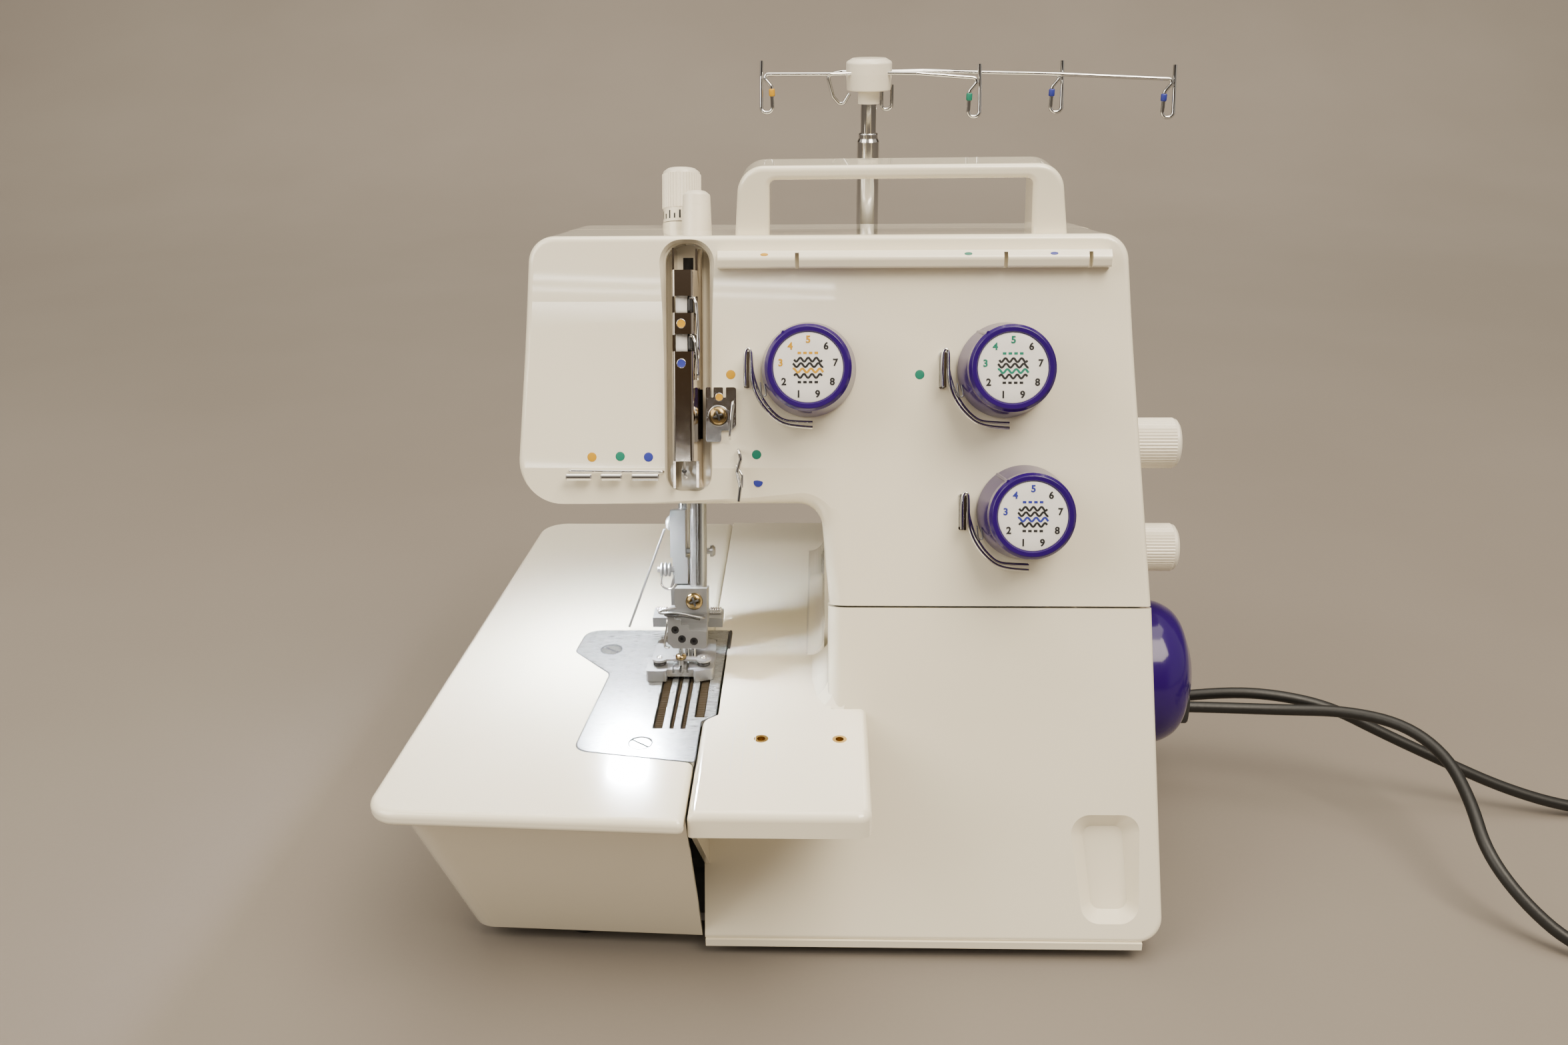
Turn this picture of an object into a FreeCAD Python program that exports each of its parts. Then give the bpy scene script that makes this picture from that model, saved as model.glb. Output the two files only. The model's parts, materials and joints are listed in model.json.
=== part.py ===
import FreeCAD, Part
import math
import os
import Sketcher
from FreeCAD import Vector as V, Rotation, Placement

# Three-needle coverstitch sewing machine, free-standing, in millimetres.
# X to the operator's right, Y to the back, Z up; the floor is Z = 0.
# The head leans back: its own frame has its origin where the front face
# crosses the level of the cloth plate, its depth axis runs into the head
# and its height axis runs up along the face.

doc = FreeCAD.newDocument("CoverstitchMachine")
sheet = doc.addObject("Spreadsheet::Sheet", "Sheet")
CELLS = [
    ("lean_angle", 18), ("face_depth", -63), ("table_height", 104), ("wall_thick", 2.8),
    ("foot_radius", 9), ("foot_height", 9), ("pan_thick", 4),
    ("panel_split", 46), ("seam_height", 43.5), ("arm_bottom", 85.5), ("head_top", 194.5),
    ("panel_span", 268), ("plate_thick", 2.6), ("plate_top", 104.2),
    ("table_thick", 6.5), ("cover_table_thick", 10.2), ("insert_radius", 2.9), ("insert_bore", 1.65), ("insert_depth", 6.2),
    ("needle_bar_x", -58), ("needle_bar_y", 39), ("needle_bar_radius", 3.7), ("needle_bar_long", 151),
    ("presser_bar_x", -66), ("presser_bar_y", 57), ("presser_bar_radius", 3), ("presser_bar_long", 141),
    ("run_gap", 0.05), ("dial_radius", 17.1), ("dial_depth", 27),
    ("post_radius", 3), ("post_long", 24), ("shaft_radius", 4), ("shaft_y", 7), ("shaft_z", 85), ("shaft_long", 197),
    ("wheel_radius", 33), ("wheel_width", 26.5), ("belt_wheel_radius", 22), ("motor_pulley_radius", 8),
    ("motor_radius", 22), ("motor_long", 58), ("motor_y", 66), ("motor_z", 41), ("belt_width", 6),
    ("stitch_knob_radius", 11.3), ("diff_knob_radius", 10.8), ("knob_stem_radius", 3.5),
    ("stand_x", 18.6), ("stand_y", 122), ("lower_tube_radius", 5.4), ("upper_tube_radius", 3.8), ("hub_radius", 10.9),
    ("tray_z", 150), ("tray_thick", 7), ("pin_radius", 2.8), ("pin_long", 62),
    ("handle_thick", 13), ("hinge_rod_radius", 1.5), ("hinge_rod_long", 142),
    ("cord_diameter", 5.6), ("looper_shaft_radius", 3.5), ("screw_head_radius", 4.4),
    ("pedal_long", 150), ("pedal_wide", 92),
    ("centre_x", -3.24), ("centre_y", 5.745),
]
for row, (word, number) in enumerate(CELLS, 1):
    sheet.set("A%d" % row, word)
    sheet.set("B%d" % row, str(number))
    sheet.setAlias("B%d" % row, word)
doc.recompute()


def D(word):
    return float(sheet.get(word))


LEAN = math.radians(D("lean_angle"))
CS, SN = math.cos(LEAN), math.sin(LEAN)
HEAD = Placement(V(0, D("face_depth"), D("table_height")), Rotation(V(1, 0, 0), -D("lean_angle")))
WORLD = Placement()


def hw(y, v):
    """Depth and height in the world of a point (depth, height) of the head frame."""
    return (D("face_depth") + y * CS + v * SN, D("table_height") - y * SN + v * CS)


def setp(obj, prop, value):
    """Give a size, bound to the sheet when it is written as an expression."""
    if isinstance(value, str):
        obj.setExpression(prop, value)
    else:
        setattr(obj, prop, value)


def cyl(name, radius, height, pos, axis=(0, 0, 1), frame=WORLD):
    o = doc.addObject("Part::Cylinder", name)
    setp(o, "Radius", radius)
    setp(o, "Height", height)
    o.Placement = frame.multiply(Placement(V(*pos), Rotation(V(0, 0, 1), V(*axis))))
    return o


def cone(name, r1, r2, height, pos, axis=(0, 0, 1), frame=WORLD):
    o = doc.addObject("Part::Cone", name)
    setp(o, "Radius1", r1)
    setp(o, "Radius2", r2)
    setp(o, "Height", height)
    o.Placement = frame.multiply(Placement(V(*pos), Rotation(V(0, 0, 1), V(*axis))))
    return o


def box(name, low, high, frame=WORLD):
    o = doc.addObject("Part::Box", name)
    o.Length, o.Width, o.Height = [b - a for a, b in zip(low, high)]
    o.Placement = frame.multiply(Placement(V(*low), Rotation()))
    return o


def fuse(name, *objs):
    o = doc.addObject("Part::MultiFuse", name)
    o.Shapes = list(objs)
    return o


def cut(name, base, *tools):
    o = doc.addObject("Part::Cut", name)
    o.Base = base
    o.Tool = tools[0] if len(tools) == 1 else fuse(name + "_tools", *tools)
    return o


def common(name, a, b):
    o = doc.addObject("Part::Common", name)
    o.Base, o.Tool = a, b
    return o


def fillet(name, base, radius, test):
    """Round the edges of a base that pass a test; keep those that can be rounded."""
    doc.recompute()
    edges = [i for i, e in enumerate(base.Shape.Edges, 1) if test(e)]
    o = doc.addObject("Part::Fillet", name)
    o.Base = base
    o.Edges = [(i, radius, radius) for i in edges]
    doc.recompute()
    if not edges or o.Shape.isNull() or not o.Shape.isValid():
        raise RuntimeError("rounding failed on %s, %d edges" % (name, len(edges)))
    return o


def arc(p1, mid, p2):
    """Arc through three points of a sketch plane, as the sketch wants it."""
    c = Part.Arc(p1, mid, p2)
    return c


def outline(points):
    """Closed outline of straight runs with rounded corners (x, y, radius)."""
    n = len(points)
    starts, ends, arcs = [], [], []
    for i, p in enumerate(points):
        r = p[2] if len(p) > 2 else 0
        a = V(points[i - 1][0], points[i - 1][1], 0)
        b = V(p[0], p[1], 0)
        c = V(points[(i + 1) % n][0], points[(i + 1) % n][1], 0)
        if r <= 0:
            starts.append(b)
            ends.append(b)
            arcs.append(None)
            continue
        u = (a - b).normalize()
        w = (c - b).normalize()
        half = math.acos(max(-1.0, min(1.0, u.dot(w)))) / 2
        t = r / math.tan(half)
        bis = (u + w).normalize()
        mid = b + bis * (r / math.sin(half) - r)
        starts.append(b + u * t)
        ends.append(b + w * t)
        arcs.append((b + u * t, mid, b + w * t))
    geo = []
    for i in range(n):
        if arcs[i]:
            geo.append(arc(*arcs[i]))
        nxt = (i + 1) % n
        if (starts[nxt] - ends[i]).Length > 1e-6:
            geo.append(Part.LineSegment(ends[i], starts[nxt]))
    return geo


def plane_of(body, role):
    for f in body.Origin.OriginFeatures:
        if f.Role == role:
            return f
    raise RuntimeError(role)


def new_sketch(body, name, loops, offset=0.0):
    sk = body.newObject("Sketcher::SketchObject", name)
    sk.AttachmentSupport = [(plane_of(body, "XY_Plane"), "")]
    sk.MapMode = "FlatFace"
    sk.AttachmentOffset = Placement(V(0, 0, offset), Rotation())
    for loop in loops:
        if isinstance(loop, tuple) and loop and loop[0] == "circle":
            sk.addGeometry(Part.Circle(V(loop[1], loop[2], 0), V(0, 0, 1), loop[3]), False)
        else:
            for g in outline(loop):
                sk.addGeometry(g, False)
    return sk


def pad(name, loops, length, place=WORLD, offset=0.0):
    """Body padded from closed outlines in its own XY plane."""
    b = doc.addObject("PartDesign::Body", name)
    if not isinstance(loops[0], list):
        loops = [loops]
    sk = new_sketch(b, name + "_sketch", loops, offset)
    p = b.newObject("PartDesign::Pad", name + "_pad")
    p.Profile = sk
    setp(p, "Length", length)
    b.Placement = place
    return b


def turn(name, points, place=WORLD):
    """Body turned from a half profile (radius, height) about its own Y axis."""
    b = doc.addObject("PartDesign::Body", name)
    sk = new_sketch(b, name + "_sketch", [points])
    r = b.newObject("PartDesign::Revolution", name + "_turn")
    r.Profile = sk
    r.ReferenceAxis = (sk, ["V_Axis"])
    r.Angle = 360.0
    b.Placement = place
    return b


SIDE = Rotation(V(1, 1, 1), 120)        # profile plane seen from the right
FRONT = Rotation(V(1, 0, 0), 90)        # profile plane seen from the front


def side_pad(name, points, x0, length, frame=WORLD):
    """Profile (depth, height) run to the right from x0."""
    return pad(name, [points], length, frame.multiply(Placement(V(x0, 0, 0), SIDE)))


def front_pad(name, loops, y_low, y_high, frame=WORLD):
    """Outline (x, height) run through the depths y_low to y_high."""
    return pad(name, loops, float(y_high - y_low), frame.multiply(Placement(V(0, 0, 0), FRONT)), -float(y_high))


def plan_pad(name, loops, z_low, length):
    """Outline (x, depth) run upwards from z_low."""
    return pad(name, loops, length, Placement(V(0, 0, z_low), Rotation()))


def turned(name, points, pos, axis, frame=WORLD):
    return turn(name, points, frame.multiply(Placement(V(*pos), Rotation(V(0, 1, 0), V(*axis)))))


def route(points, radius=None):
    """Straight runs joined by tangent arcs, as large as the runs allow."""
    pts = [V(*p) for p in points]
    edges, radii = [], []
    last = pts[0]
    for i in range(1, len(pts) - 1):
        a, b, c = pts[i - 1], pts[i], pts[i + 1]
        u = (a - b)
        w = (c - b)
        lu, lw = u.Length, w.Length
        u.normalize()
        w.normalize()
        half = math.acos(max(-1.0, min(1.0, u.dot(w)))) / 2
        tmax = 0.45 * min(lu, lw)
        t = tmax if radius is None else min(tmax, radius / math.tan(half))
        r = t * math.tan(half)
        radii.append(r)
        p1, p2 = b + u * t, b + w * t
        bis = (u + w).normalize()
        mid = b + bis * (r / math.sin(half) - r)
        if (p1 - last).Length > 1e-6:
            edges.append(Part.LineSegment(last, p1).toShape())
        edges.append(Part.Arc(p1, mid, p2).toShape())
        last = p2
    edges.append(Part.LineSegment(last, pts[-1]).toShape())
    return Part.Wire(edges), radii


def rod(points, r, radius=None):
    """Round bar along a route; gives the solid and the length of its line."""
    wire, radii = route(points, radius)
    start = V(*points[0])
    along = V(*points[1]) - start
    ring = Part.Wire([Part.makeCircle(r, start, along)])
    solid = wire.makePipeShell([ring], True, False)
    want = math.pi * r * r * wire.Length
    if solid.ShapeType != "Solid":
        solid = Part.makeSolid(solid)
    if abs(solid.Volume - want) > 0.03 * want:
        raise RuntimeError("rod volume %.1f for %.1f" % (solid.Volume, want))
    return solid, wire.Length, radii


def feature(name, shape, place=WORLD):
    """Free-form piece whose shape is worked out above."""
    o = doc.addObject("Part::Feature", name)
    o.Shape = shape
    o.Placement = place
    return o


NODES = {}


def node(name, obj):
    obj.Label = name
    NODES[name] = obj
    return obj


def group(name, *objs):
    """Several separate solids that share a node."""
    o = doc.addObject("Part::Compound", name + "_group")
    o.Links = list(objs)
    return node(name, o)


# ------------------------------------------------------------------ base
pan = plan_pad("pan", [[(-142, -80, 10), (132, -80, 8), (132, 111, 8), (-142, 111, 10)]], 9.0, "Sheet.pan_thick")
lug_bits = []
for i, x0 in enumerate((-44, 70)):
    lug_bits.append(cyl("hinge_lug_%d" % i, 2.9, 8, (x0, -85.5, 15.5), (1, 0, 0)))
    lug_bits.append(box("hinge_web_%d" % i, (x0, -85.5, 12.6), (x0 + 8, -76, 16.2)))
pan_lugs = fuse("pan_with_lugs", pan, *lug_bits)
node("base_plate", cut("base_plate_cut", pan_lugs, cyl("lug_bore", "Sheet.hinge_rod_radius + Sheet.run_gap", 150, (-60, -85.5, 15.5), (1, 0, 0))))

feet = []
for i, (x, y) in enumerate(((-107, -70.5), (85, -70.5), (-107, 96), (112, 96))):
    low = cone("foot_low_%d" % i, "Sheet.foot_radius - 1.5", "Sheet.foot_radius", 2, (x, y, 0))
    up = cyl("foot_up_%d" % i, "Sheet.foot_radius", "Sheet.foot_height - 2", (x, y, 2))
    feet.append(fuse("foot_%d" % i, low, up))
group("rubber_feet", *feet)

node("cover_hinge_rod", cyl("cover_hinge_rod_bar", "Sheet.hinge_rod_radius", "Sheet.hinge_rod_long", (-47, -85.5, 15.5), (1, 0, 0)))

# ------------------------------------------------------------- main frame
wall = front_pad("frame_wall", [[(-112, 104, 8), (-112, 182, 8), (98, 182, 8), (98, -63), (34, -63), (34, 104, 10)]], 80, 87, HEAD)
boss_low = box("bar_boss_low", (-75, 31, 104), (-47, 81, 114), HEAD)
boss_high = box("bar_boss_high", (-75, 31, 166), (-47, 81, 176), HEAD)
deck = box("frame_deck", (-100, -48, 13), (126, 100, 18))
rib_left = box("frame_rib_left", (-108, 0, 16), (-46, 8, 96))
rib_right = box("frame_rib_right", (-47, 0, 16), (45, 8, 76))
bed_ring = plan_pad("bed_ring", [[(-97, -92.5), (-54, -99.5), (-54, -84), (-77, -84), (-77, 2), (-48.5, 2), (-48.5, 7.6), (-109, 7.3), (-112, -12), (-94.8, -34)]], 94.0, 7.5)
bearing_boss_1 = box("bearing_boss_1", (-36, -2, 74), (-26, 16, 95))
bearing_boss_2 = box("bearing_boss_2", (84, -2, 75), (96, 20, 95))
lever_pin = cyl("lever_pin", 3, 12, (-121, 60, 215), (1, 0, 0))
frame_solid = fuse("frame_solid", wall, boss_low, boss_high, deck, rib_left, rib_right, bed_ring, bearing_boss_1, bearing_boss_2, lever_pin)
node("main_frame", cut(
    "main_frame_cut", frame_solid,
    cyl("needle_bar_bore", "Sheet.needle_bar_radius + Sheet.run_gap", 120, (D("needle_bar_x"), D("needle_bar_y"), 90), (0, 0, 1), HEAD),
    cyl("presser_bar_bore", "Sheet.presser_bar_radius + Sheet.run_gap", 120, (D("presser_bar_x"), D("presser_bar_y"), 90), (0, 0, 1), HEAD),
    cyl("bearing_bore_1", 6.5, 14, (-38, D("shaft_y"), D("shaft_z")), (1, 0, 0)),
    cyl("bearing_bore_2", 6.5, 16, (82, D("shaft_y"), D("shaft_z")), (1, 0, 0)),
    cyl("looper_bore", "Sheet.looper_shaft_radius + Sheet.run_gap", 30, (-62, -10, 58), (0, 1, 0)),
))
rings = []
for i, (x0, w) in enumerate(((-36, 10), (84, 12))):
    rings.append(cut("bearing_%d" % i, cyl("bearing_out_%d" % i, 6.5, w, (x0, D("shaft_y"), D("shaft_z")), (1, 0, 0)),
                     cyl("bearing_in_%d" % i, "Sheet.shaft_radius + Sheet.run_gap", w + 4, (x0 - 2, D("shaft_y"), D("shaft_z")), (1, 0, 0))))
group("shaft_bearings", *rings)

# ------------------------------------------------------------ front panel
panel_side = side_pad("panel_side", [(0, 43.5), (46, 43.5), (46, 204.1), (-3.5, 194.5), (0, 152, 400)], -134, "Sheet.panel_span", HEAD)
panel_front = front_pad("panel_front", [[(-130.2, 85.5, 18), (-4, 85.5, 10), (-0.3, 43.5), (132.3, 43.5), (117.5, 216), (-121.0, 216)]], -12, 60, HEAD)
panel_block = common("panel_block", panel_side, panel_front)


def in_head(e, k):
    """Coordinate k of an edge's middle in the head frame."""
    mid = e.valueAt((e.FirstParameter + e.LastParameter) / 2)
    return tuple(HEAD.inverse().multVec(mid))[k]


def edge_dir(e):
    a = HEAD.inverse().multVec(e.valueAt(e.FirstParameter))
    b = HEAD.inverse().multVec(e.valueAt(e.LastParameter))
    d = b - a
    if d.Length > 1e-9:
        d.normalize()
    return d


panel_round = fillet("panel_round", panel_block, 11.0,
                     lambda e: abs(edge_dir(e).y) > 0.9 and in_head(e, 2) > 190)


def front_rim(e):
    """Edges that bound the front face."""
    pts = [HEAD.inverse().multVec(p) for p in e.discretize(5)]
    return all(p.y < 0.02 and (p.y > -0.02 or p.z > 130) for p in pts) and not all(abs(p.z - 43.5) < 0.01 for p in pts) \
        and not (abs(pts[0].z - pts[-1].z) < 0.01 and 60 < pts[0].z < 180 and abs(pts[0].z - 85.5) > 0.1)


def rim_radius(e):
    """Front rim: a large roll under the arm and down the throat, small elsewhere."""
    a = HEAD.inverse().multVec(e.valueAt(e.FirstParameter))
    b = HEAD.inverse().multVec(e.valueAt(e.LastParameter))

    def at(p):
        if p.z < 86.5 and p.x > -109 and p.x < 20:
            return 8.0
        if p.z < 80 and p.x < 20:
            return 8.0
        return 2.6
    return at(a), at(b)


doc.recompute()
panel_outer = doc.addObject("Part::Fillet", "panel_outer")
panel_outer.Base = panel_round
panel_outer.Edges = [(i,) + rim_radius(e) for i, e in enumerate(panel_round.Shape.Edges, 1) if front_rim(e)]
doc.recompute()
print("front rim", len(panel_outer.Edges), panel_outer.Shape.isValid())
inner_side = side_pad("panel_inner_side", [(2.8, 30), (60, 30), (60, 203.9), (-0.6, 192.0), (2.8, 152, 400)], -135, 275.0, HEAD)
inner_front = front_pad("panel_inner_front", [[(-127.3, 88.3, 15), (-1.4, 88.3, 12), (2.7, 40), (129.4, 40), (114.6, 216), (-118.1, 216)]], -12, 70, HEAD)
panel_inner = common("panel_inner", inner_side, inner_front)
groove_block = box("groove_block", (-70.5, 1, 86.5), (-46, 10.5, 197), HEAD)
panel_hollow = cut("panel_hollow", panel_inner, groove_block)


def face_loft(name, outlines, depths):
    """Straight-sided loft between outlines (x, height) at depths of the head frame."""
    wires_at = []
    for pts, y in zip(outlines, depths):
        w = Part.Wire([g.toShape() for g in outline(pts)])
        w.translate(V(0, 0, -y))
        wires_at.append(w)
    return feature(name, Part.makeLoft(wires_at, True, True), HEAD.multiply(Placement(V(0, 0, 0), FRONT)))


FOLD = []
for fx, deep in ((-137.0, 2.3), (-30.0, 2.3), (4.0, 0.02)):
    FOLD.append(Part.makePolygon([HEAD.multVec(V(fx, a, b)) for a, b in ((-12, 100.5), (0, 100.5), (deep, 84), (-12, 84), (-12, 100.5))]))
arm_fold = feature("arm_fold", Part.makeLoft(FOLD, True, True))
post_holes = []
DIALS = ((-8.7, 140.6), (70.8, 140.2), (79.2, 82.5))
for i, (x, v) in enumerate(DIALS):
    post_holes.append(cyl("post_hole_%d" % i, "Sheet.post_radius + 0.3", 20, (x, -8, v), (0, 1, 0), HEAD))
node("front_panel", cut(
    "front_panel_cut", panel_outer, panel_hollow,
    front_pad("take_up_groove", [[(-67.2, 91, 6), (-49.3, 91, 6), (-49.3, 192, 8), (-67.2, 192, 8)]], -12, 7.5, HEAD),
    face_loft("groove_lip", [[(-70.2, 88, 9), (-46.3, 88, 9), (-46.3, 193.4, 10), (-70.2, 193.4, 10)], [(-67.2, 91, 6), (-49.3, 91, 6), (-49.3, 192, 8), (-67.2, 192, 8)]], (-4.2, 1.6)),
    arm_fold,
    box("bar_opening", (-79, 22, 80), (-46, 50, 92), HEAD),
    cyl("cap_opening", 5.2, 40, (D("needle_bar_x"), D("needle_bar_y"), 185), (0, 0, 1), HEAD),
    *post_holes))

# ------------------------------------------------------------- rear cover
c_low = hw(46.5, (13.4 - D("table_height") + 46.5 * SN) / CS)
c_top = hw(46.5, 204.2)
rear_side = side_pad("rear_side", [c_low, (112, 13.4), (106, 150, 200), (91, 278.1, 16), c_top], -134, 279.0)
rear_front = front_pad("rear_front", [[(-130.0, 170.5, 14), (-2.2, 170.5, 10), (-2.2, 10), (138.2, 10), (131.8, 138), (117.6, 300), (-120.8, 300)]], -80, 130)
rear_block = common("rear_block", rear_side, rear_front)


def top_side(e):
    """Edges along the depth where the top meets the two sides."""
    a, b = e.valueAt(e.FirstParameter), e.valueAt(e.LastParameter)
    d = b - a
    return d.Length > 25 and abs(d.x) < 6 and abs(d.z) < 10 and (a.z + b.z) / 2 > 270


rear_round = fillet("rear_round", rear_block, 11.0, top_side)
d_low = hw(38, -95)
d_top = hw(38, 199.7)
rear_in_side = side_pad("rear_in_side", [d_low, (109.5, 5), (103.2, 150, 200), (88.4, 275.5, 13), d_top], -140, 290.0)
rear_in_front = front_pad("rear_in_front", [[(-127.2, 173.3, 11), (0.6, 173.3, 13), (0.6, 0), (135.4, 0), (129.0, 138), (114.8, 300), (-118.0, 300)]], -90, 140)
rear_inner = common("rear_inner", rear_in_side, rear_in_front)
rear_outer = fuse("rear_outer", rear_round, cyl("pressure_collar", 8.6, 17.9, (-66.3, 57, 190), (0, 0, 1), HEAD))
node("rear_cover", cut(
    "rear_cover_cut", rear_outer, rear_inner,
    box("rear_wall_open", (-3, -80, 0), (0.65, 113, 101.0)),
    box("rear_wall_nick", (-3, -24, 100.0), (2.4, -5.2, 104.7)),
    box("rear_bar_opening", (-79, 40, 60), (-46, 66, 96), HEAD),
    box("lever_slot", (-121.4, 80, 205.5), (-112.4, 120, 246)),
    cyl("wheel_opening", "Sheet.shaft_radius + 1.5", 30, (115, D("shaft_y"), D("shaft_z")), (1, 0, 0)),
    cyl("stitch_opening", "Sheet.knob_stem_radius + Sheet.run_gap", 40, (105, 22.5, 191.7), (1, 0, 0)),
    cyl("diff_opening", "Sheet.knob_stem_radius + Sheet.run_gap", 40, (110, 10.8, 146.1), (1, 0, 0)),
    cyl("knob_opening", 4.05, 40, (-66.3, 57, 190), (0, 0, 1), HEAD),
    box("socket_opening", (120, 35.6, 33.6), (150, 61.4, 56.4)),
    box("switch_opening", (120, 75.6, 34.6), (150, 90.4, 57.4)),
))

# ---------------------------------------------------------- bed and plate
bed_top = plan_pad("bed_top", [[(-46.1, -6.4), (-2.8, -6.4), (-2.8, 141.4), (-52.7, 141.4), (-52.7, 9.4), (-46.1, 9.4)]], 101.5, 2.5)
bed_back = box("bed_back", (-52.7, 128, 13.4), (-2.8, 130.6, 102))
bed_lip = box("bed_lip", (-52.7, 138.6, 96.5), (-2.8, 141.4, 102))
bed_post = box("bed_post", (-44, 14, 76), (-38, 40, 102))
bed_leg = box("bed_leg", (-44, 20, 18), (-38, 30, 80))
node("bed_cover", fuse("bed_cover_solid", bed_top, bed_back, bed_lip, bed_post, bed_leg))

PLATE = [(-112.5, 8.3, 7), (-114.6, -12.8, 5), (-95.9, -33.2, 5), (-101.2, -95.8, 6), (-53.0, -104.2, 1), (-53.0, -73.5, 1.5), (-47.4, -68.5, 1.5), (-46.7, 8.7, 1.5)]
SLOTS = [(-72.3, -68.0), (-65.5, -63.4), (-60.9, -58.6), (-56.0, -51.6)]
plate_blank = plan_pad("plate_blank", [PLATE], D("plate_top") - D("plate_thick"), "Sheet.plate_thick")
plate_cuts = []
for i, (a, b) in enumerate(SLOTS):
    plate_cuts.append(box("feed_slot_front_%d" % i, (a, -79.5 if i < 3 else -70.5, 95), (b, -31.5, 110)))
    plate_cuts.append(box("feed_slot_rear_%d" % i, (a, -16.5, 95), (b, -0.5, 110)))
plate_cuts.append(box("needle_hole", (-67.8, -29.6, 95), (-58.2, -24.2, 110)))
PLATE_SCREWS = ((-98.9, -10.6), (-75.6, -90.5))
for i, (x, y) in enumerate(PLATE_SCREWS):
    plate_cuts.append(cone("countersink_%d" % i, 2.6, 5.0, 2.4, (x, y, 101.81)))
    plate_cuts.append(cyl("plate_hole_%d" % i, 2.6, 10, (x, y, 96)))
node("needle_plate", cut("needle_plate_cut", plate_blank, *plate_cuts))
screws = []
for i, (x, y) in enumerate(PLATE_SCREWS):
    head = cone("plate_screw_head_%d" % i, 2.4, "Sheet.screw_head_radius", 2.0, (x, y, 101.95))
    slot = box("plate_screw_slot_%d" % i, (x - 5, y - 0.5, 103.0), (x + 5, y + 0.5, 105))
    slot.Placement = Placement(V(x, y, 0), Rotation(V(0, 0, 1), -38)).multiply(Placement(V(-5, -0.5, 103.0), Rotation()))
    screws.append(cut("plate_screw_%d" % i, head, slot))
group("needle_plate_screws", *screws)

# -------------------------------------------------------------- feed dogs
ROWS = [(-71.8, -68.5), (-65.0, -63.9), (-60.4, -59.1), (-55.5, -52.1)]
for word, y0, y1 in (("front", -77.0, -34.0), ("rear", -14.2, -2.8)):
    bits = [box("dog_base_" + word, (-71.8, y0, 95), (-52.1, y1, 99.5))]
    for i, (a, b) in enumerate(ROWS):
        n = int((y1 - y0) / 1.4)
        teeth = [(y0, 99), (y1, 99)]
        for k in range(n, 0, -1):
            teeth.append((y0 + (y1 - y0) * k / n, 102.2 if k < n else 102.8))
            teeth.append((y0 + (y1 - y0) * (k - 1) / n + 0.3, 102.8))
        bits.append(side_pad("dog_row_%s_%d" % (word, i), teeth, a, float(b - a)))
    dog = fuse("feed_dog_%s_solid" % word, *bits)
    if word == "front":
        dog = cut("feed_dog_front_trim", dog, box("dog_corner", (-56.0, -80, 90), (-50, -70.0, 110)))
    node("feed_dog_" + word, dog)

# ------------------------------------------------------------ cloth table
table_top = plan_pad("table_top", [[(-173.2, -139.2, 12), (-53.4, -144.6, 2), (-53.4, 142, 2), (-158.4, 142, 14)]], 97.5, "Sheet.table_thick")
doc.recompute()
table_round = fillet("table_round", table_top, 2.6,
                     lambda e: all(abs(p.z - 104) < 0.01 or abs(p.z - 97.5) < 0.01 for p in e.discretize(3))
                     and not all(p.x > -53.5 for p in e.discretize(3)))
SKIRT_LOW = [(-155.5, -86.4, 12), (-53.8, -90.8, 0), (-53.8, 122, 0), (-145.5, 122, 12)]
SKIRT_TOP = [(-167, -130.6, 12), (-53.8, -134, 0), (-53.8, 134, 0), (-153.5, 134, 12)]


def level_wire(points, z):
    w = Part.Wire([g.toShape() for g in outline(points)])
    w.translate(V(0, 0, z))
    return w


skirt_out = feature("skirt_out", Part.makeLoft([level_wire(SKIRT_LOW, 10.0), level_wire(SKIRT_TOP, 98.0)], True, True))
SKIRT_LOW_IN = [(-152.9, -83.6, 10), (-30, -88.9, 0), (-30, 119.4, 0), (-142.9, 119.4, 10)]
SKIRT_TOP_IN = [(-164.8, -129.3, 10), (-30, -133.3, 0), (-30, 131.6, 0), (-151.3, 131.6, 10)]
skirt_in = feature("skirt_in", Part.makeLoft([level_wire(SKIRT_LOW_IN, 9.0), level_wire(SKIRT_TOP_IN, 99.0)], True, True))
table_low = cut("table_low", skirt_out, skirt_in)
node("cloth_table", cut(
    "cloth_table_cut", fuse("table_solid", table_round, table_low),
    plan_pad("plate_window", [[(-113.1, 8.95, 7.5), (-115.2, -12.6, 5), (-96.5, -33.5, 5), (-101.9, -96.4, 6.5), (-40, -107.1, 0), (-40, 9.25, 0)]], 90.0, 20.0)))

# ------------------------------------------------------------ front cover
v_low = (9.3 - D("table_height")) / CS
cover_side = side_pad("cover_side", [(0, v_low), (45.4, v_low + 45.4 * SN / CS), (45.4, 32), (16, 42.7), (0, 42.7)], -60, 220.0, HEAD)
cover_front = front_pad("cover_front", [[(-52.5, -110), (140.4, -110), (132.5, 42.7), (-0.8, 42.7), (-0.8, -0.4), (-52.5, -0.4)]], -20, 70, HEAD)
cover_plain = common("cover_plain", cover_side, cover_front)


def column_edge(e):
    """Front left edge of the column above the cloth plate."""
    pts = [HEAD.inverse().multVec(p) for p in e.discretize(3)]
    return all(abs(p.y) < 0.02 and abs(p.x + 0.8) < 0.02 for p in pts)


cover_block = fillet("cover_block", cover_plain, 8.0, column_edge)


def cover_rim(e):
    pts = [HEAD.inverse().multVec(p) for p in e.discretize(5)]
    return all(abs(p.y) < 0.02 for p in pts) and (all(p.x > 131 for p in pts) or all(p.z < -99 for p in pts))


def cover_corner(e):
    pts = [HEAD.inverse().multVec(p) for p in e.discretize(3)]
    return all(p.x > 136.5 for p in pts) and abs(pts[-1].y - pts[0].y) > 20


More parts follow.
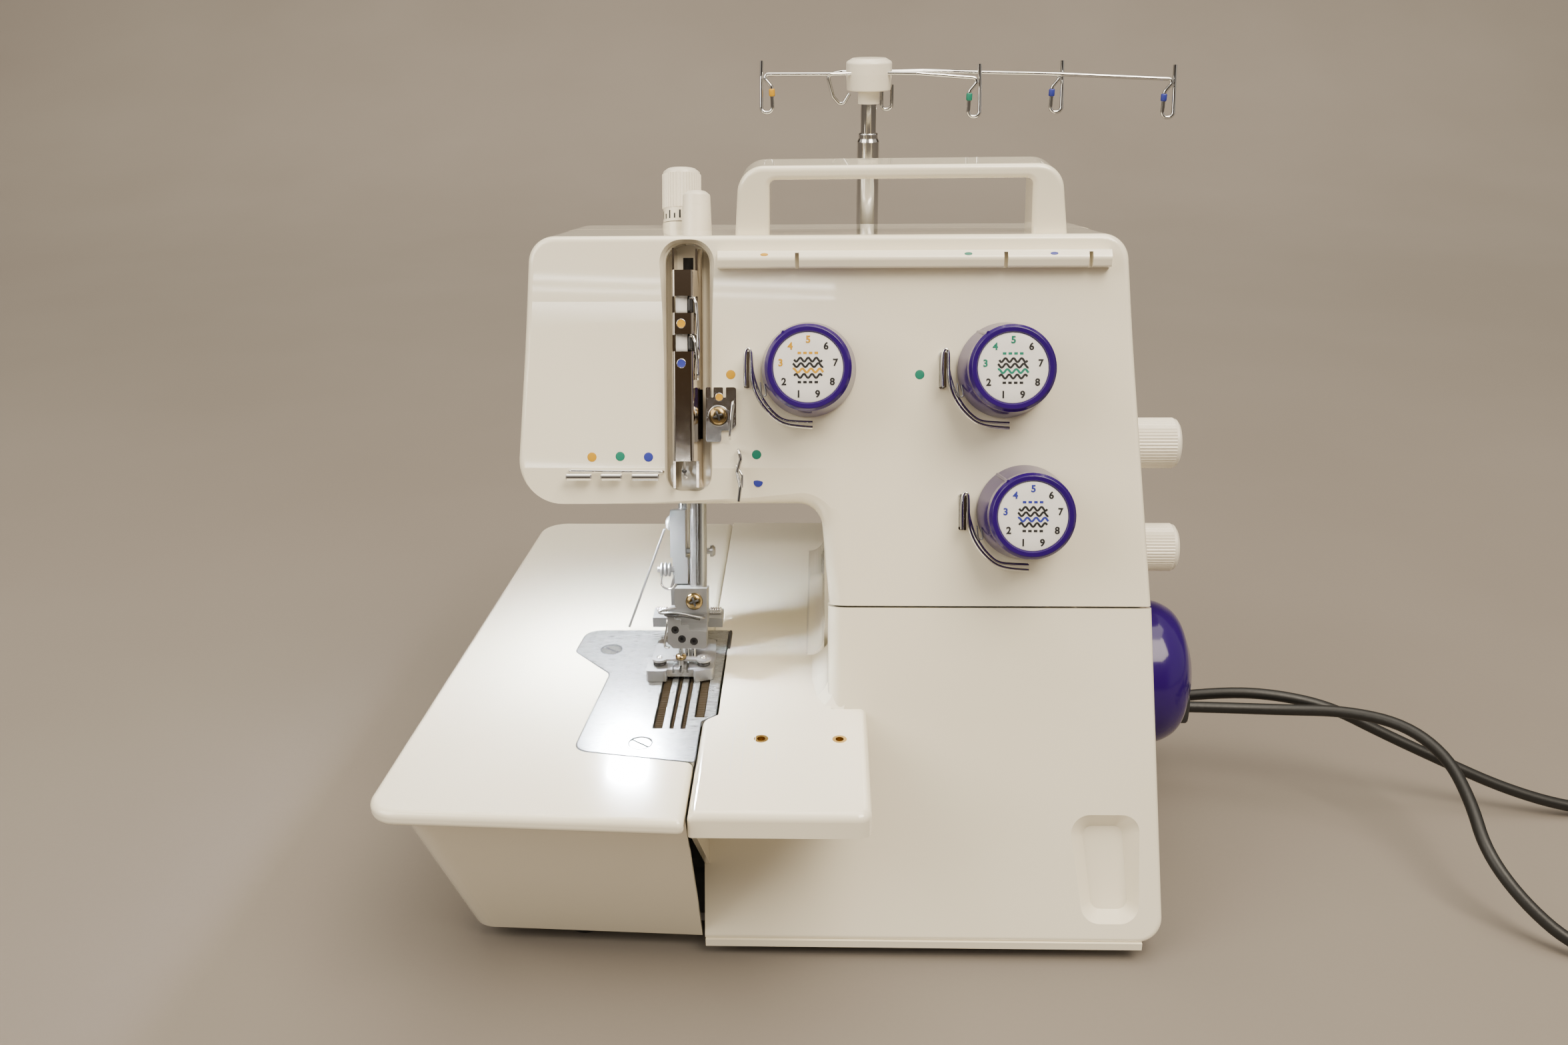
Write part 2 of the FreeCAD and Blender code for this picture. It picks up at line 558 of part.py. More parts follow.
cover_round = fillet("cover_round", cover_block, 10.0, lambda e: cover_corner(e) and min(in_head(e, 2), 0) < -70)
cover_soft = fillet("cover_soft", cover_round, 2.2, cover_rim)
cover_in_side = side_pad("cover_in_side", [(2.6, -125), (60, -125), (60, 39), (2.6, 39)], -70, 240.0, HEAD)
cover_in_front = front_pad("cover_in_front", [[(-49.9, -120), (138.1, -120), (129.7, 39.9), (2.0, 39.9), (2.0, -1), (-49.9, -1)]], -20, 80, HEAD)
cover_hollow = fuse("cover_hollow", common("cover_hollow_main", cover_in_side, cover_in_front), box("cover_hollow_bed", (-49.9, 2.6, -12), (-0.8, 60, 5), HEAD))
recess_wall = front_pad("recess_wall", [[(96.4, -94.0, 8), (131.4, -94.0, 8), (131.6, -41, 8), (96.4, -41, 8)]], 1.0, 9.8, HEAD)
small_blank = plan_pad("small_blank", [[(-52.5, -139.6, 1.5), (15.4, -139.6, 5), (15.4, -58), (-52.5, -58)]], 94.0, "Sheet.cover_table_thick")
doc.recompute()
small_round = fillet("small_round", small_blank, 3.2,
                     lambda e: all(abs(p.z - 104.2) < 0.01 for p in e.discretize(3)) and all(p.y < -60 or p.x > 15 for p in e.discretize(3))
                     and not all(p.x < -52 for p in e.discretize(3)))
small_keep = cut("small_keep", small_round,
                 box("small_back", (-60, -63.1, 80), (9.5, -40, 110)),
                 plan_pad("small_notch", [[(-60, -74.2), (-53, -74.2), (-46, -68.2), (-46, -40), (-60, -40)]], 80.0, 40.0))
small_hollow = box("small_hollow", (-49.7, -136.8, 85), (12.6, -69, 101.4))
bosses = []
INSERTS = ((-27.5, -86.7), (3.9, -86.7))
for i, (x, y) in enumerate(INSERTS):
    bosses.append(cyl("insert_boss_%d" % i, 5.2, 8, (x, y, 95.5)))
small_rear = plan_pad("small_rear", [[(-46, -64.5), (0.6, -64.5), (0.6, -15.7), (-2.7, -15.7), (-2.7, -6.9), (-46, -6.9)]], 101.4, 2.8)
BOOT = []
for z in (103.6, 104.8, 106.4, 108.6, 112.2):
    f = max(0.0, 1 - (z - 103.6) / 8.6) ** 2
    lean = (z - 104) * SN / CS
    pts = [(-0.5 - 8.3 * f, -15.7), (-0.5 - 8.3 * f, -37), (-0.5 - 5.6 * f, -52.6 + lean), (1.9 - 4.5 * f, -60.2 + lean + 0.4 * f), (7.4 - 1.9 * f, -62.7 + lean - 0.6 * f), (7.4, -15.7)]
    BOOT.append(Part.makePolygon([V(a, b, z) for a, b in pts + pts[:1]]))
column_boot = feature("column_boot", Part.makeLoft(BOOT, True, False))
small_shell = fuse("small_shell", cut("small_open", small_keep, small_hollow), small_rear, column_boot, *bosses)
cover_shell = cut("cover_shell", cover_soft, cut("cover_space", cover_hollow, recess_wall))
knuckles = []
for i, x0 in enumerate((-30, 84)):
    knuckles.append(cyl("knuckle_%d" % i, 2.9, 10, (x0, -85.5, 15.5), (1, 0, 0)))
    knuckles.append(box("knuckle_web_%d" % i, (x0, 1.5, -93.2), (x0 + 10, 5.9, -89.6), HEAD))
platform_web = side_pad("platform_web", [(-137.2, 95), (-64.5, 95), (-81.5, 41.5), (-83.6, 41.5)], -52.4, 2.0)
cover_strip = plan_pad("cover_strip", [[(-52.3, -93.55), (131, -93.55), (131, -91.2), (-52.3, -91.2)]], 6.6, 3.3)
cover_all = fuse("cover_all", cover_shell, small_shell, platform_web, cover_strip, *knuckles)
recess_cut = face_loft("recess_cut", [[(98.8, -43.4, 8.4), (129.4, -43.4, 7.4), (129.6, -90.9, 8.4), (105.8, -90.9, 8.4)], [(106.2, -50.6, 4), (123.2, -50.6, 4), (126, -86.5, 4), (111, -86.5, 4)]], (-0.6, 7.0))
cover_cuts = [
    recess_cut,
    plan_pad("plate_corner", [[(-60, -74.2), (-53, -74.2), (-46, -68.2), (-46, 0), (-60, 0)]], 80.0, 42.0),
    box("cover_left_open", (-56, 12, -112), (-40, 60, -5), HEAD),
    box("cover_low_open", (-56, 9, -120), (145, 60, -78), HEAD),
    cyl("rod_bore", "Sheet.hinge_rod_radius + Sheet.run_gap", 160, (-56, -85.5, 15.5), (1, 0, 0)),
]
for i, (x, y) in enumerate(INSERTS):
    cover_cuts.append(cyl("insert_hole_%d" % i, "Sheet.insert_radius", 10, (x, y, 98.0)))
node("front_cover", cut("front_cover_cut", cover_all, *cover_cuts))
inserts = []
for i, (x, y) in enumerate(INSERTS):
    inserts.append(cut("insert_%d" % i, cyl("insert_out_%d" % i, "Sheet.insert_radius", "Sheet.insert_depth", (x, y, 98.0)),
                       cyl("insert_in_%d" % i, "Sheet.insert_bore", 12, (x, y, 96.0))))
group("threaded_inserts", *inserts)

# ------------------------------------------------------------ carry handle
def handle_rim(e):
    pts = e.discretize(5)
    return (all(abs(p.y - 1.5) < 0.01 for p in pts) or all(abs(p.y - 25.5) < 0.01 for p in pts)) and not all(abs(p.z - 280) < 0.01 for p in pts)


handle_plain = front_pad("handle_plain", [[(-39.6, 280), (-25.0, 280), (-24.6, 310.6, 2.5), (81.4, 310.9, 2.5), (82.2, 280), (97.6, 280), (92.8, 316.6, 11), (-37.0, 316.2, 11)]], 1.5, 25.5)
handle_round = fillet("handle_round", handle_plain, 2.3, handle_rim)
node("carry_handle", cut("carry_handle_cut", handle_round, panel_outer))

# -------------------------------------------------------- top thread rail
rail_blank = side_pad("rail_blank", [(0, 181), (0, 188), (-7.6, 188, 1.0), (-9.2, 184.5, 2.0), (-7.4, 181, 1.2)], -45.3, 157.3, HEAD)
rail_cuts = [panel_outer]
for i, x in enumerate((-13.4, 70.0, 103.7)):
    rail_cuts.append(box("rail_slot_%d" % i, (x - 0.8, -12, 178), (x + 0.8, -4.6, 187), HEAD))
node("top_thread_guide", cut("top_thread_guide_cut", rail_blank, *rail_cuts))

# ---------------------------------------------- take-up cover and guides
def head_pad(name, points, v0, v1):
    """Outline (x, depth) run up the head from v0 to v1."""
    return pad(name, [points], float(v1 - v0), HEAD.multiply(Placement(V(0, 0, v0), Rotation())))


def cross(name, base, pos, axis, size, deep, frame=WORLD, spin=20.0):
    """Screw head with a cross recess; pos is the middle of its top."""
    side = Placement(V(*pos), Rotation(V(0, 0, 1), V(*axis)))
    bars = []
    for k in range(2):
        turned_by = Placement(V(0, 0, 0), Rotation(V(0, 0, 1), spin + 90.0 * k))
        b = box("%s_bar_%d" % (name, k), (0, 0, 0), (size, size * 0.27, deep + 1))
        b.Placement = frame.multiply(side).multiply(turned_by).multiply(Placement(V(-size / 2, -size * 0.135, -deep), Rotation()))
        bars.append(b)
    return cut(name, base, *bars)


CHANNEL = [(-64.0, 7.5), (-64.0, -7.0, 1.4), (-55.7, -7.0, 1.6), (-52.2, 0.4), (-52.2, 7.5), (-53.1, 7.5), (-53.1, 0.6), (-56.2, -6.1, 0.6), (-63.1, -6.1, 0.5), (-63.1, 7.5)]
strips = []
for i, (a, b) in enumerate(((103.5, 147.9), (154.9, 163.4), (170.2, 180.6))):
    strips.append(head_pad("strip_%d" % i, CHANNEL, a, b))
left_leaf = head_pad("left_leaf", [(-64.0, 7.5), (-64.0, -4.6), (-63.1, -4.6), (-63.1, 7.5)], 92.4, 189.6)
right_leaf = head_pad("right_leaf", [(-52.2, 7.5), (-53.1, 7.5), (-53.1, 0.6), (-54.72, -2.9), (-53.76, -2.9), (-52.2, 0.4)], 92.6, 189.4)
node("take_up_cover", fuse("take_up_cover_solid", *strips, left_leaf, right_leaf))

guide_hook, ln, rr = rod([(-39.6, -0.6, 127.8), (-39.6, -4.4, 127.4), (-40.4, -4.8, 120.5), (-40.9, -4.4, 113.6), (-40.9, -2.6, 112.4)], 0.5, 1.4)
bracket = fuse("guide_bracket",
               front_pad("bracket_plate", [[(-50.9, 111.2, 1.0), (-44.6, 111.2, 1.0), (-44.6, 115.9, 0.6), (-40.4, 115.9, 1.4), (-38.4, 118.2, 1.0), (-38.4, 133.6, 1.2), (-42.6, 133.6, 0.3), (-42.6, 129.4, 0.5), (-43.8, 129.4, 0.5), (-43.8, 133.6, 0.3), (-47.7, 133.6, 0.3), (-47.7, 129.4, 0.5), (-48.9, 129.4, 0.5), (-48.9, 133.6, 0.3), (-50.9, 133.6, 0.6)]], -1.3, -0.05, HEAD),
               box("bracket_flange", (-50.9, -1.2, 112.4), (-50.1, 6.0, 132.8), HEAD),
               feature("bracket_hook", guide_hook, HEAD))
bracket_screw = cross("bracket_screw", turned("bracket_screw_head", [(0, 0), (4.3, 0), (4.3, 0.5, 0.2), (3.5, 0.6), (3.3, 1.7, 0.6), (1.8, 2.5), (0, 2.6)], (-45.7, -1.3, 121.9), (0, -1, 0), HEAD), (-45.7, -3.9, 121.9), (0, -1, 0), 3.8, 1.1, HEAD)
low_bits = []
for i, (a, b) in enumerate(((-108.5, -97.8), (-94.1, -85.3), (-81.4, -70.0))):
    low_bits.append(turned("low_tube_%d" % i, [(0, 0), (1.1, 0), (1.5, 0.5), (1.5, b - a - 0.5), (1.1, b - a), (0, b - a)], (a, -3.2, 96.9), (1, 0, 0), HEAD))
    low_bits.append(cyl("low_foot_%d" % i, 0.9, 3.4, ((a + b) / 2, 0.3, 96.9), (0, -1, 0), HEAD))
low_wire, ln, rr = rod([(-107.4, -0.2, 99.4), (-107.2, -1.6, 99.4), (-88.0, -1.9, 99.2), (-68.9, -1.6, 99.0), (-68.7, -0.2, 99.0)], 0.6, 1.0)
side_a, ln, rr = rod([(-37.6, -0.2, 107.6), (-37.4, -4.6, 108.2), (-36.4, -4.9, 104.4), (-38.0, -4.2, 99.0), (-36.6, -5.2, 93.0), (-37.4, -4.9, 87.0)], 0.75, 2.0)
side_b, ln, rr = rod([(-37.7, -0.2, 101.6), (-38.4, -2.2, 101.8), (-36.0, -2.9, 97.6), (-36.2, -2.8, 92.6)], 0.6, 1.4)
group("arm_thread_guides", bracket, bracket_screw, *[fuse("low_bar_%d" % i, low_bits[2 * i], low_bits[2 * i + 1]) for i in range(3)],
      feature("low_wire", low_wire, HEAD), feature("side_guide", side_a, HEAD), feature("side_guide_short", side_b, HEAD))

# ---------------------------------------------------------------- dials
for i, (x, v) in enumerate(DIALS, 1):
    r = D("dial_radius")
    d = D("dial_depth")
    dial_body = turned(
        "dial_%d" % i,
        [(12.5, 1.2), (18.5, 1.2), (19.3, 2.0), (r - 0.35, d - 8.0), (r, d - 7.2), (r, d - 1.6, 0.8), (r - 1.2, d, 0.6), (r - 2.9, d), (r - 3.4, d - 0.9),
         (0, d - 0.9), (0, 12.6), (3.06, 12.6), (3.06, 9), (12.5, 9)], (x, 0, v), (0, -1, 0), HEAD)
    ca, sa = math.cos(math.radians(125.5)), math.sin(math.radians(125.5))
    rib, ln, rr = rod([(x + 16.7 * ca, -(d - 0.9), v + 16.7 * sa), (x + 17.0 * ca, -(d - 7.6), v + 17.0 * sa), (x + 18.9 * ca, -2.4, v + 18.9 * sa)], 0.75)
    node("tension_dial_%d" % i, fuse("dial_%d_solid" % i, dial_body, feature("dial_rib_%d" % i, rib, HEAD)))
posts = []
for i, (x, v) in enumerate(DIALS):
    posts.append(fuse("post_%d" % i, cyl("post_bar_%d" % i, "Sheet.post_radius", "Sheet.post_long", (x, 12, v), (0, -1, 0), HEAD),
                      cyl("post_flange_%d" % i, 6.5, 3, (x, 5.8, v), (0, -1, 0), HEAD)))
    for k, h in enumerate((2.2, 4.0)):
        posts.append(cut("disc_%d_%d" % (i, k), cyl("disc_out_%d_%d" % (i, k), 11.2, 0.9, (x, -h, v), (0, -1, 0), HEAD),
                         cyl("disc_in_%d_%d" % (i, k), 3.1, 4, (x, -h + 1, v), (0, -1, 0), HEAD)))
group("tension_posts", *posts)
guides = []
for i, (x, v) in enumerate(DIALS):
    back = front_pad("clip_back_%d" % i, [[(x - 26.6, v - 7.4, 0.8), (x - 24.0, v - 7.4, 0.8), (x - 24.0, v + 7.4, 0.8), (x - 26.6, v + 7.4, 0.8)]], -1.0, 0.0, HEAD)
    fin = front_pad("clip_fin_%d" % i, [[(x - 25.0, v - 7.0, 0.3), (x - 24.0, v - 7.0, 0.3), (x - 24.0, v + 7.2, 0.3), (x - 25.0, v + 7.2, 0.3)]], -7.0, 0.0, HEAD)
    guides.append(cut("clip_%d" % i, fuse("clip_solid_%d" % i, back, fin), panel_outer))
    for k, y in enumerate((-3.2, -5.6)):
        path = [(x - 23.3, y, v + 7.0), (x - 23.1, y, v - 0.5), (x - 20.6, y, v - 9.0), (x - 16.0, y, v - 16.0), (x - 10.8, y, v - 20.6), (x - 4.5, y, v - 21.2), (x + 1.6, y, v - 21.4)]
        s, ln, rr = rod(path, 0.62)
        guides.append(feature("guide_wire_%d_%d" % (i, k), s, HEAD))
group("tension_thread_guides", *guides)

# ---------------------------------------------------------- top of head
cap = turned("cap_solid", [(4.9, 0), (6.7, 0), (6.0, 17.6, 1.2), (4.0, 19.2, 1.0), (0, 19.4), (0, 17.2), (4.7, 17.2)], (D("needle_bar_x"), D("needle_bar_y"), 200), (0, 0, 1), HEAD)
node("needle_bar_cap", cut("needle_bar_cap_cut", cap, panel_outer))
knob_pts = []
RIBS = 40
for k in range(RIBS * 2):
    a = math.pi * k / RIBS
    rr = 8.7 if k % 2 == 0 else 8.35
    knob_pts.append((rr * math.cos(a), rr * math.sin(a)))
knob_upper = pad("pressure_knob_ribs", [knob_pts], 15.0, HEAD.multiply(Placement(V(-66.3, 57, 214.5), Rotation())))
knob_dome = turned("pressure_knob_dome", [(0, 0), (8.35, 0), (8.1, 1.2, 0.6), (6.4, 2.5), (0, 2.7)], (-66.3, 57, 229.5), (0, 0, 1), HEAD)
knob_low = cyl("pressure_knob_low", 8.3, 6.5, (-66.3, 57, 208.3), (0, 0, 1), HEAD)
knob_stem = cyl("pressure_knob_stem", 4.0, 17, (-66.3, 57, 193), (0, 0, 1), HEAD)
node("pressure_knob", fuse("pressure_knob_solid", knob_upper, knob_dome, knob_low, knob_stem))

# ---------------------------------------------------------- presser parts
pb = (D("presser_bar_x"), D("presser_bar_y"))
node("presser_bar", cyl("presser_bar_rod", "Sheet.presser_bar_radius", "Sheet.presser_bar_long", (pb[0], pb[1], 44), (0, 0, 1), HEAD))
coil = Part.makeHelix(4.4, 40, 4.6)
ring = Part.Wire([Part.makeCircle(0.6, V(4.6, 0, 0), V(0, 1, 0.15))])
spring = coil.makePipeShell([ring], True, True)
node("presser_spring", feature("presser_spring_coil", spring if spring.ShapeType == "Solid" else Part.makeSolid(spring),
                               HEAD.multiply(Placement(V(pb[0], pb[1], 119), Rotation()))))
upright = fuse("bracket_upright",
               box("upright_high", (-71.2, 44, 58.8), (-64.4, 53.9, 80.2), HEAD),
               box("upright_low", (-69.2, 44, 47.2), (-63.4, 53.9, 59), HEAD),
               cut("upright_ring", box("upright_block", (-71.2, 53.0, 50), (-61.8, 62.5, 58), HEAD),
                   cyl("upright_bore", "Sheet.presser_bar_radius", 20, (pb[0], pb[1], 45), (0, 0, 1), HEAD)))
screw_left = cross("screw_left", turned("screw_left_head", [(0, 0), (3.3, 0), (3.3, 1.2, 0.5), (2.2, 2.3), (0, 2.5)], (-71.2, 49.5, 74), (-1, 0, 0), HEAD), (-73.7, 49.5, 74), (-1, 0, 0), 3.4, 1.0, HEAD)
screw_right = fuse("screw_right", turned("screw_right_head", [(0, 0), (2.7, 0), (2.7, 1.2, 0.4), (1.8, 2.1), (0, 2.2)], (-53.6, 49.5, 61.5), (1, 0, 0), HEAD),
                   cyl("screw_right_stem", 1.4, 10.8, (-64.4, 49.5, 61.5), (1, 0, 0), HEAD))
spring_pin = cyl("spring_pin", 1.3, 8.4, (-77.6, 49.5, 53), (1, 0, 0), HEAD)
turns = []
for k in range(3):
    t = doc.addObject("Part::Torus", "spring_turn_%d" % k)
    t.Radius1, t.Radius2 = 2.6, 0.62
    t.Placement = HEAD.multiply(Placement(V(-75.6 + 1.75 * k, 49.5, 53), Rotation(V(0, 0, 1), V(1, 0, 0))))
    turns.append(t)
holder_neck = box("holder_neck", (-71.5, -4, 118), (-60.5, 9.6, 133))
holder_arm = box("holder_arm", (-79.9, -7.2, 113.9), (-48.3, 3.2, 118.5))
holder = cut("holder", fuse("holder_solid", holder_neck, holder_arm),
             cyl("holder_bore", "Sheet.presser_bar_radius", 20, (pb[0], pb[1], 44), (0, 0, 1), HEAD))
gw0 = HEAD.multVec(V(-74.0, 47.0, 71.5))
guard, ln, rr = rod([tuple(gw0), (-93.4, 9.6, 105.6)], 0.55)
guard_wire = feature("guard_wire", guard)
group("presser_bracket", upright, guard_wire, screw_left, screw_right, spring_pin, *turns, holder)

toe_l = plan_pad("toe_left", [[(-79.3, -40.8, 1.0), (-70.4, -40.8, 1.0), (-70.4, -30.6), (-79.3, -30.6)]], 104.4, 5.2)
toe_r = plan_pad("toe_right", [[(-58.8, -41.2, 1.0), (-50.3, -38.4, 2.0), (-50.3, -30.6), (-58.8, -30.6)]], 104.4, 5.2)
comb = cut("foot_comb", box("comb_block", (-70.5, -38.9, 105.9), (-58.7, -31.4, 109.4)),
           *[box("comb_slot_%d" % i, (x - 0.5, -40, 107.6), (x + 0.5, -30, 112)) for i, x in enumerate((-67.6, -64.6, -61.6))])
sole = cut("foot_sole", plan_pad("sole_blank", [[(-79.3, -31), (-50.3, -31), (-51.5, -4.4, 2), (-78.1, -4.4, 2)]], 104.4, 1.8),
           box("sole_window", (-69.8, -30.4, 100), (-56.8, -20, 110)))
shank = box("foot_shank", (-70, -10.5, 105), (-58, -4.4, 113.9))
foot_body = fuse("foot_body", toe_l, toe_r, comb, sole, shank)
ears = []
for i, x in enumerate((-73.9, -54.8)):
    ears.append(cyl("ear_%d" % i, 3.3, 0.9, (x, -34.0, 111.6)))
leaf = fuse("foot_leaf", *ears, box("leaf_bar", (-73.9, -35.4, 111.6), (-54.8, -32.6, 112.5)))
leaf_screw = fuse("leaf_screw", cross("leaf_screw_top", turned("leaf_screw_head", [(0, 0), (2.3, 0), (2.3, 1.1, 0.5), (0, 1.7)], (-64.6, -34.0, 112.5), (0, 0, 1)), (-64.6, -34.0, 114.2), (0, 0, 1), 2.6, 0.8),
                  cyl("leaf_screw_stem", 1.5, 2.2, (-64.6, -34.0, 109.4)))
foot_springs = []
for i, x in enumerate((-73.9, -54.8)):
    foot_springs.append(cut("foot_spring_%d" % i, cyl("foot_spring_out_%d" % i, 2.3, 2.0, (x, -34.0, 109.6)), cyl("foot_spring_in_%d" % i, 1.6, 4, (x, -34.0, 109.0))))
group("presser_foot", foot_body, leaf, leaf_screw, *foot_springs)

lever_arm = side_pad("lever_arm", [(60, 210.5), (128, 211.5, 3.5), (128, 219, 3.5), (60, 219.5)], -119.5, 5.0)
lever_boss = cyl("lever_boss", 7, 5.0, (-119.5, 60, 215), (1, 0, 0))
node("presser_lifter", cut("presser_lifter_cut", fuse("lever_solid", lever_arm, lever_boss, fillet("lever_pad_round", box("lever_grip", (-125, 116, 212.0), (-107, 134, 218.0)), 2.4, lambda e: True)),
                           cyl("lever_bore", 3.05, 20, (-126, 60, 215), (1, 0, 0))))

# ------------------------------------------------------------ needle parts
nb = (D("needle_bar_x"), D("needle_bar_y"))
node("needle_bar", cyl("needle_bar_rod", "Sheet.needle_bar_radius", "Sheet.needle_bar_long", (nb[0], nb[1], 37), (0, 0, 1), HEAD))
upper = box("clamp_upper", (-67.9, 31, 36), (-53.8, 43.6, 46.6), HEAD)
back_part = box("clamp_back", (-70.9, 33.5, 30.5), (-53.9, 43.6, 37.5), HEAD)
lower_back = box("clamp_lower_back", (-70.9, 33.0, 21.5), (-53.9, 38.0, 31), HEAD)
steps = front_pad("clamp_steps", [[(-68.6, 20.2, 0.8), (-53.9, 20.2, 1.0), (-53.9, 27.9, 2.0), (-61.4, 27.9, 0.6), (-61.9, 30.3, 0.6), (-65.0, 30.3, 0.6), (-65.3, 33.0, 0.6), (-68.0, 33.0, 0.6), (-68.2, 35.6, 0.6), (-70.9, 35.6, 0.6), (-70.9, 23.0, 0.8)]], 30, 34, HEAD)
SETS = ((-67.7, 28.4), (-64.7, 24.4), (-59.4, 23.4))
NEEDLES = (-65.8, -63.0, -60.2)
clamp_cuts = [cyl("clamp_bore", "Sheet.needle_bar_radius", 30, (nb[0], nb[1], 37), (0, 0, 1), HEAD)]
for i, (x, v) in enumerate(SETS):
    clamp_cuts.append(cyl("set_hole_%d" % i, 1.75, 3.5, (x, 29, v), (0, 1, 0), HEAD))
for i, x in enumerate(NEEDLES):
    clamp_cuts.append(cyl("needle_socket_%d" % i, 1.0, 11, (x, 35.4, 18), (0, 0, 1), HEAD))
node("needle_clamp", cut("needle_clamp_cut", fuse("clamp_solid", upper, back_part, lower_back, steps), *clamp_cuts))
nscrews = [cross("clamp_screw", turned("clamp_screw_head", [(0, 0), (3.6, 0), (3.6, 1.2, 0.5), (2.4, 2.3), (0, 2.5)], (-59.2, 31, 41.1), (0, -1, 0), HEAD), (-59.2, 28.5, 41.1), (0, -1, 0), 3.8, 1.1, HEAD)]
for i, (x, v) in enumerate(SETS):
    hexa = [(x + 0.85 * math.cos(math.pi * k / 3), v + 0.85 * math.sin(math.pi * k / 3)) for k in range(6)]
    nscrews.append(cut("set_screw_%d" % i, cyl("set_body_%d" % i, 1.75, 1.9, (x, 30.6, v), (0, 1, 0), HEAD), front_pad("set_hex_%d" % i, [hexa], 29.0, 31.9, HEAD)))
group("needle_screws", *nscrews)
needles = []
for i, x in enumerate(NEEDLES):
    needles.append(turned("needle_%d" % i, [(0, 0), (0.4, 5), (0.45, 13.5), (1.0, 15.0), (1.0, 28.5), (0, 28.5)], (x, 35.4, 0.5), (0, 0, 1), HEAD))
group("needles", *needles)

# ---------------------------------------------------------------- looper
looper_shaft = cyl("looper_shaft", "Sheet.looper_shaft_radius", 52, (-62, -36, 58), (0, 1, 0))
looper_arm = front_pad("looper_arm", [[(-66, 55), (-58, 55), (-59.6, 84), (-64.4, 84)]], -27.5, -23.5)
looper_blade = front_pad("looper_blade", [[(-71.5, 86.2), (-58.5, 83.0), (-58.5, 87.4), (-64, 89.0)]], -26.7, -24.5)
node("looper", fuse("looper_solid", looper_shaft, looper_arm, looper_blade))

# ------------------------------------------------ main shaft, wheel, motor
shaft = cyl("shaft_bar", "Sheet.shaft_radius", "Sheet.shaft_long", (-45, D("shaft_y"), D("shaft_z")), (1, 0, 0))
belt_wheel = turned("belt_wheel", [(0, 0), (22.5, 0), (22.5, 1.2), (20.5, 1.4), (20.5, 7.6), (22.5, 7.8), (22.5, 9), (0, 9)], (103, D("shaft_y"), D("shaft_z")), (1, 0, 0))
node("main_shaft", fuse("main_shaft_solid", shaft, belt_wheel))
wr = D("wheel_radius")
wheel = turned("wheel_solid", [(0, 0), (wr - 3, 0), (wr, 2.2, 1.5), (wr, 11, 14), (wr - 4.5, 20, 14), (wr - 20, 26.0, 30), (0, 26.5)], (139.6, D("shaft_y"), D("shaft_z")), (1, 0, 0))
node("handwheel", cut("handwheel_cut", wheel, cyl("wheel_bore", "Sheet.shaft_radius", 14.4, (137.6, D("shaft_y"), D("shaft_z")), (1, 0, 0))))
my, mz = D("motor_y"), D("motor_z")
motor_can = cyl("motor_can", "Sheet.motor_radius", "Sheet.motor_long", (38, my, mz), (1, 0, 0))
motor_nose = cyl("motor_nose", 8, 3, (96, my, mz), (1, 0, 0))
motor_foot = box("motor_foot", (44, my - 15, 18), (90, my + 15, 30))
node("motor", cut("motor_cut", fuse("motor_solid", motor_can, motor_nose, motor_foot), cyl("motor_bore", 3.05, 20, (90, my, mz), (1, 0, 0))))
pulley = turned("pulley_solid", [(0, 0), (9.5, 0), (9.5, 1.2), (7.6, 1.4), (7.6, 7.6), (9.5, 7.8), (9.5, 9), (0, 9)], (103, my, mz), (1, 0, 0))
node("motor_pulley", fuse("motor_pulley_solid", pulley, cyl("motor_shaft", 3.0, 13.5, (90.5, my, mz), (1, 0, 0))))


def belt_loop(grow):
    """Closed line of a belt round the two pulleys, grown outwards."""
    c1, c2 = V(D("shaft_y"), D("shaft_z"), 0), V(my, mz, 0)
    r1, r2 = 20.9 + grow, 8.0 + grow
    d = c2 - c1
    L = d.Length
    base = math.atan2(d.y, d.x)
    off = math.acos((r1 - r2) / L)
    pts = []
    for s in (1, -1):
        a = base + s * off
        n = V(math.cos(a), math.sin(a), 0)
        pts.append((c1 + n * r1, c2 + n * r2))
    far1 = c1 - V(math.cos(base), math.sin(base), 0) * r1
    far2 = c2 + V(math.cos(base), math.sin(base), 0) * r2
    return [Part.LineSegment(pts[0][0], pts[0][1]), Part.Arc(pts[0][1], far2, pts[1][1]), Part.LineSegment(pts[1][1], pts[1][0]), Part.Arc(pts[1][0], far1, pts[0][0])]


belt_body = doc.addObject("PartDesign::Body", "belt")
belt_sketch = belt_body.newObject("Sketcher::SketchObject", "belt_sketch")
belt_sketch.AttachmentSupport = [(plane_of(belt_body, "XY_Plane"), "")]
belt_sketch.MapMode = "FlatFace"
for g in belt_loop(0.0) + belt_loop(1.4):
    belt_sketch.addGeometry(g, False)
belt_pad = belt_body.newObject("PartDesign::Pad", "belt_pad")
belt_pad.Profile = belt_sketch
setp(belt_pad, "Length", "Sheet.belt_width - 0.2")
belt_body.Placement = Placement(V(104.6, 0, 0), SIDE)
node("drive_belt", belt_body)

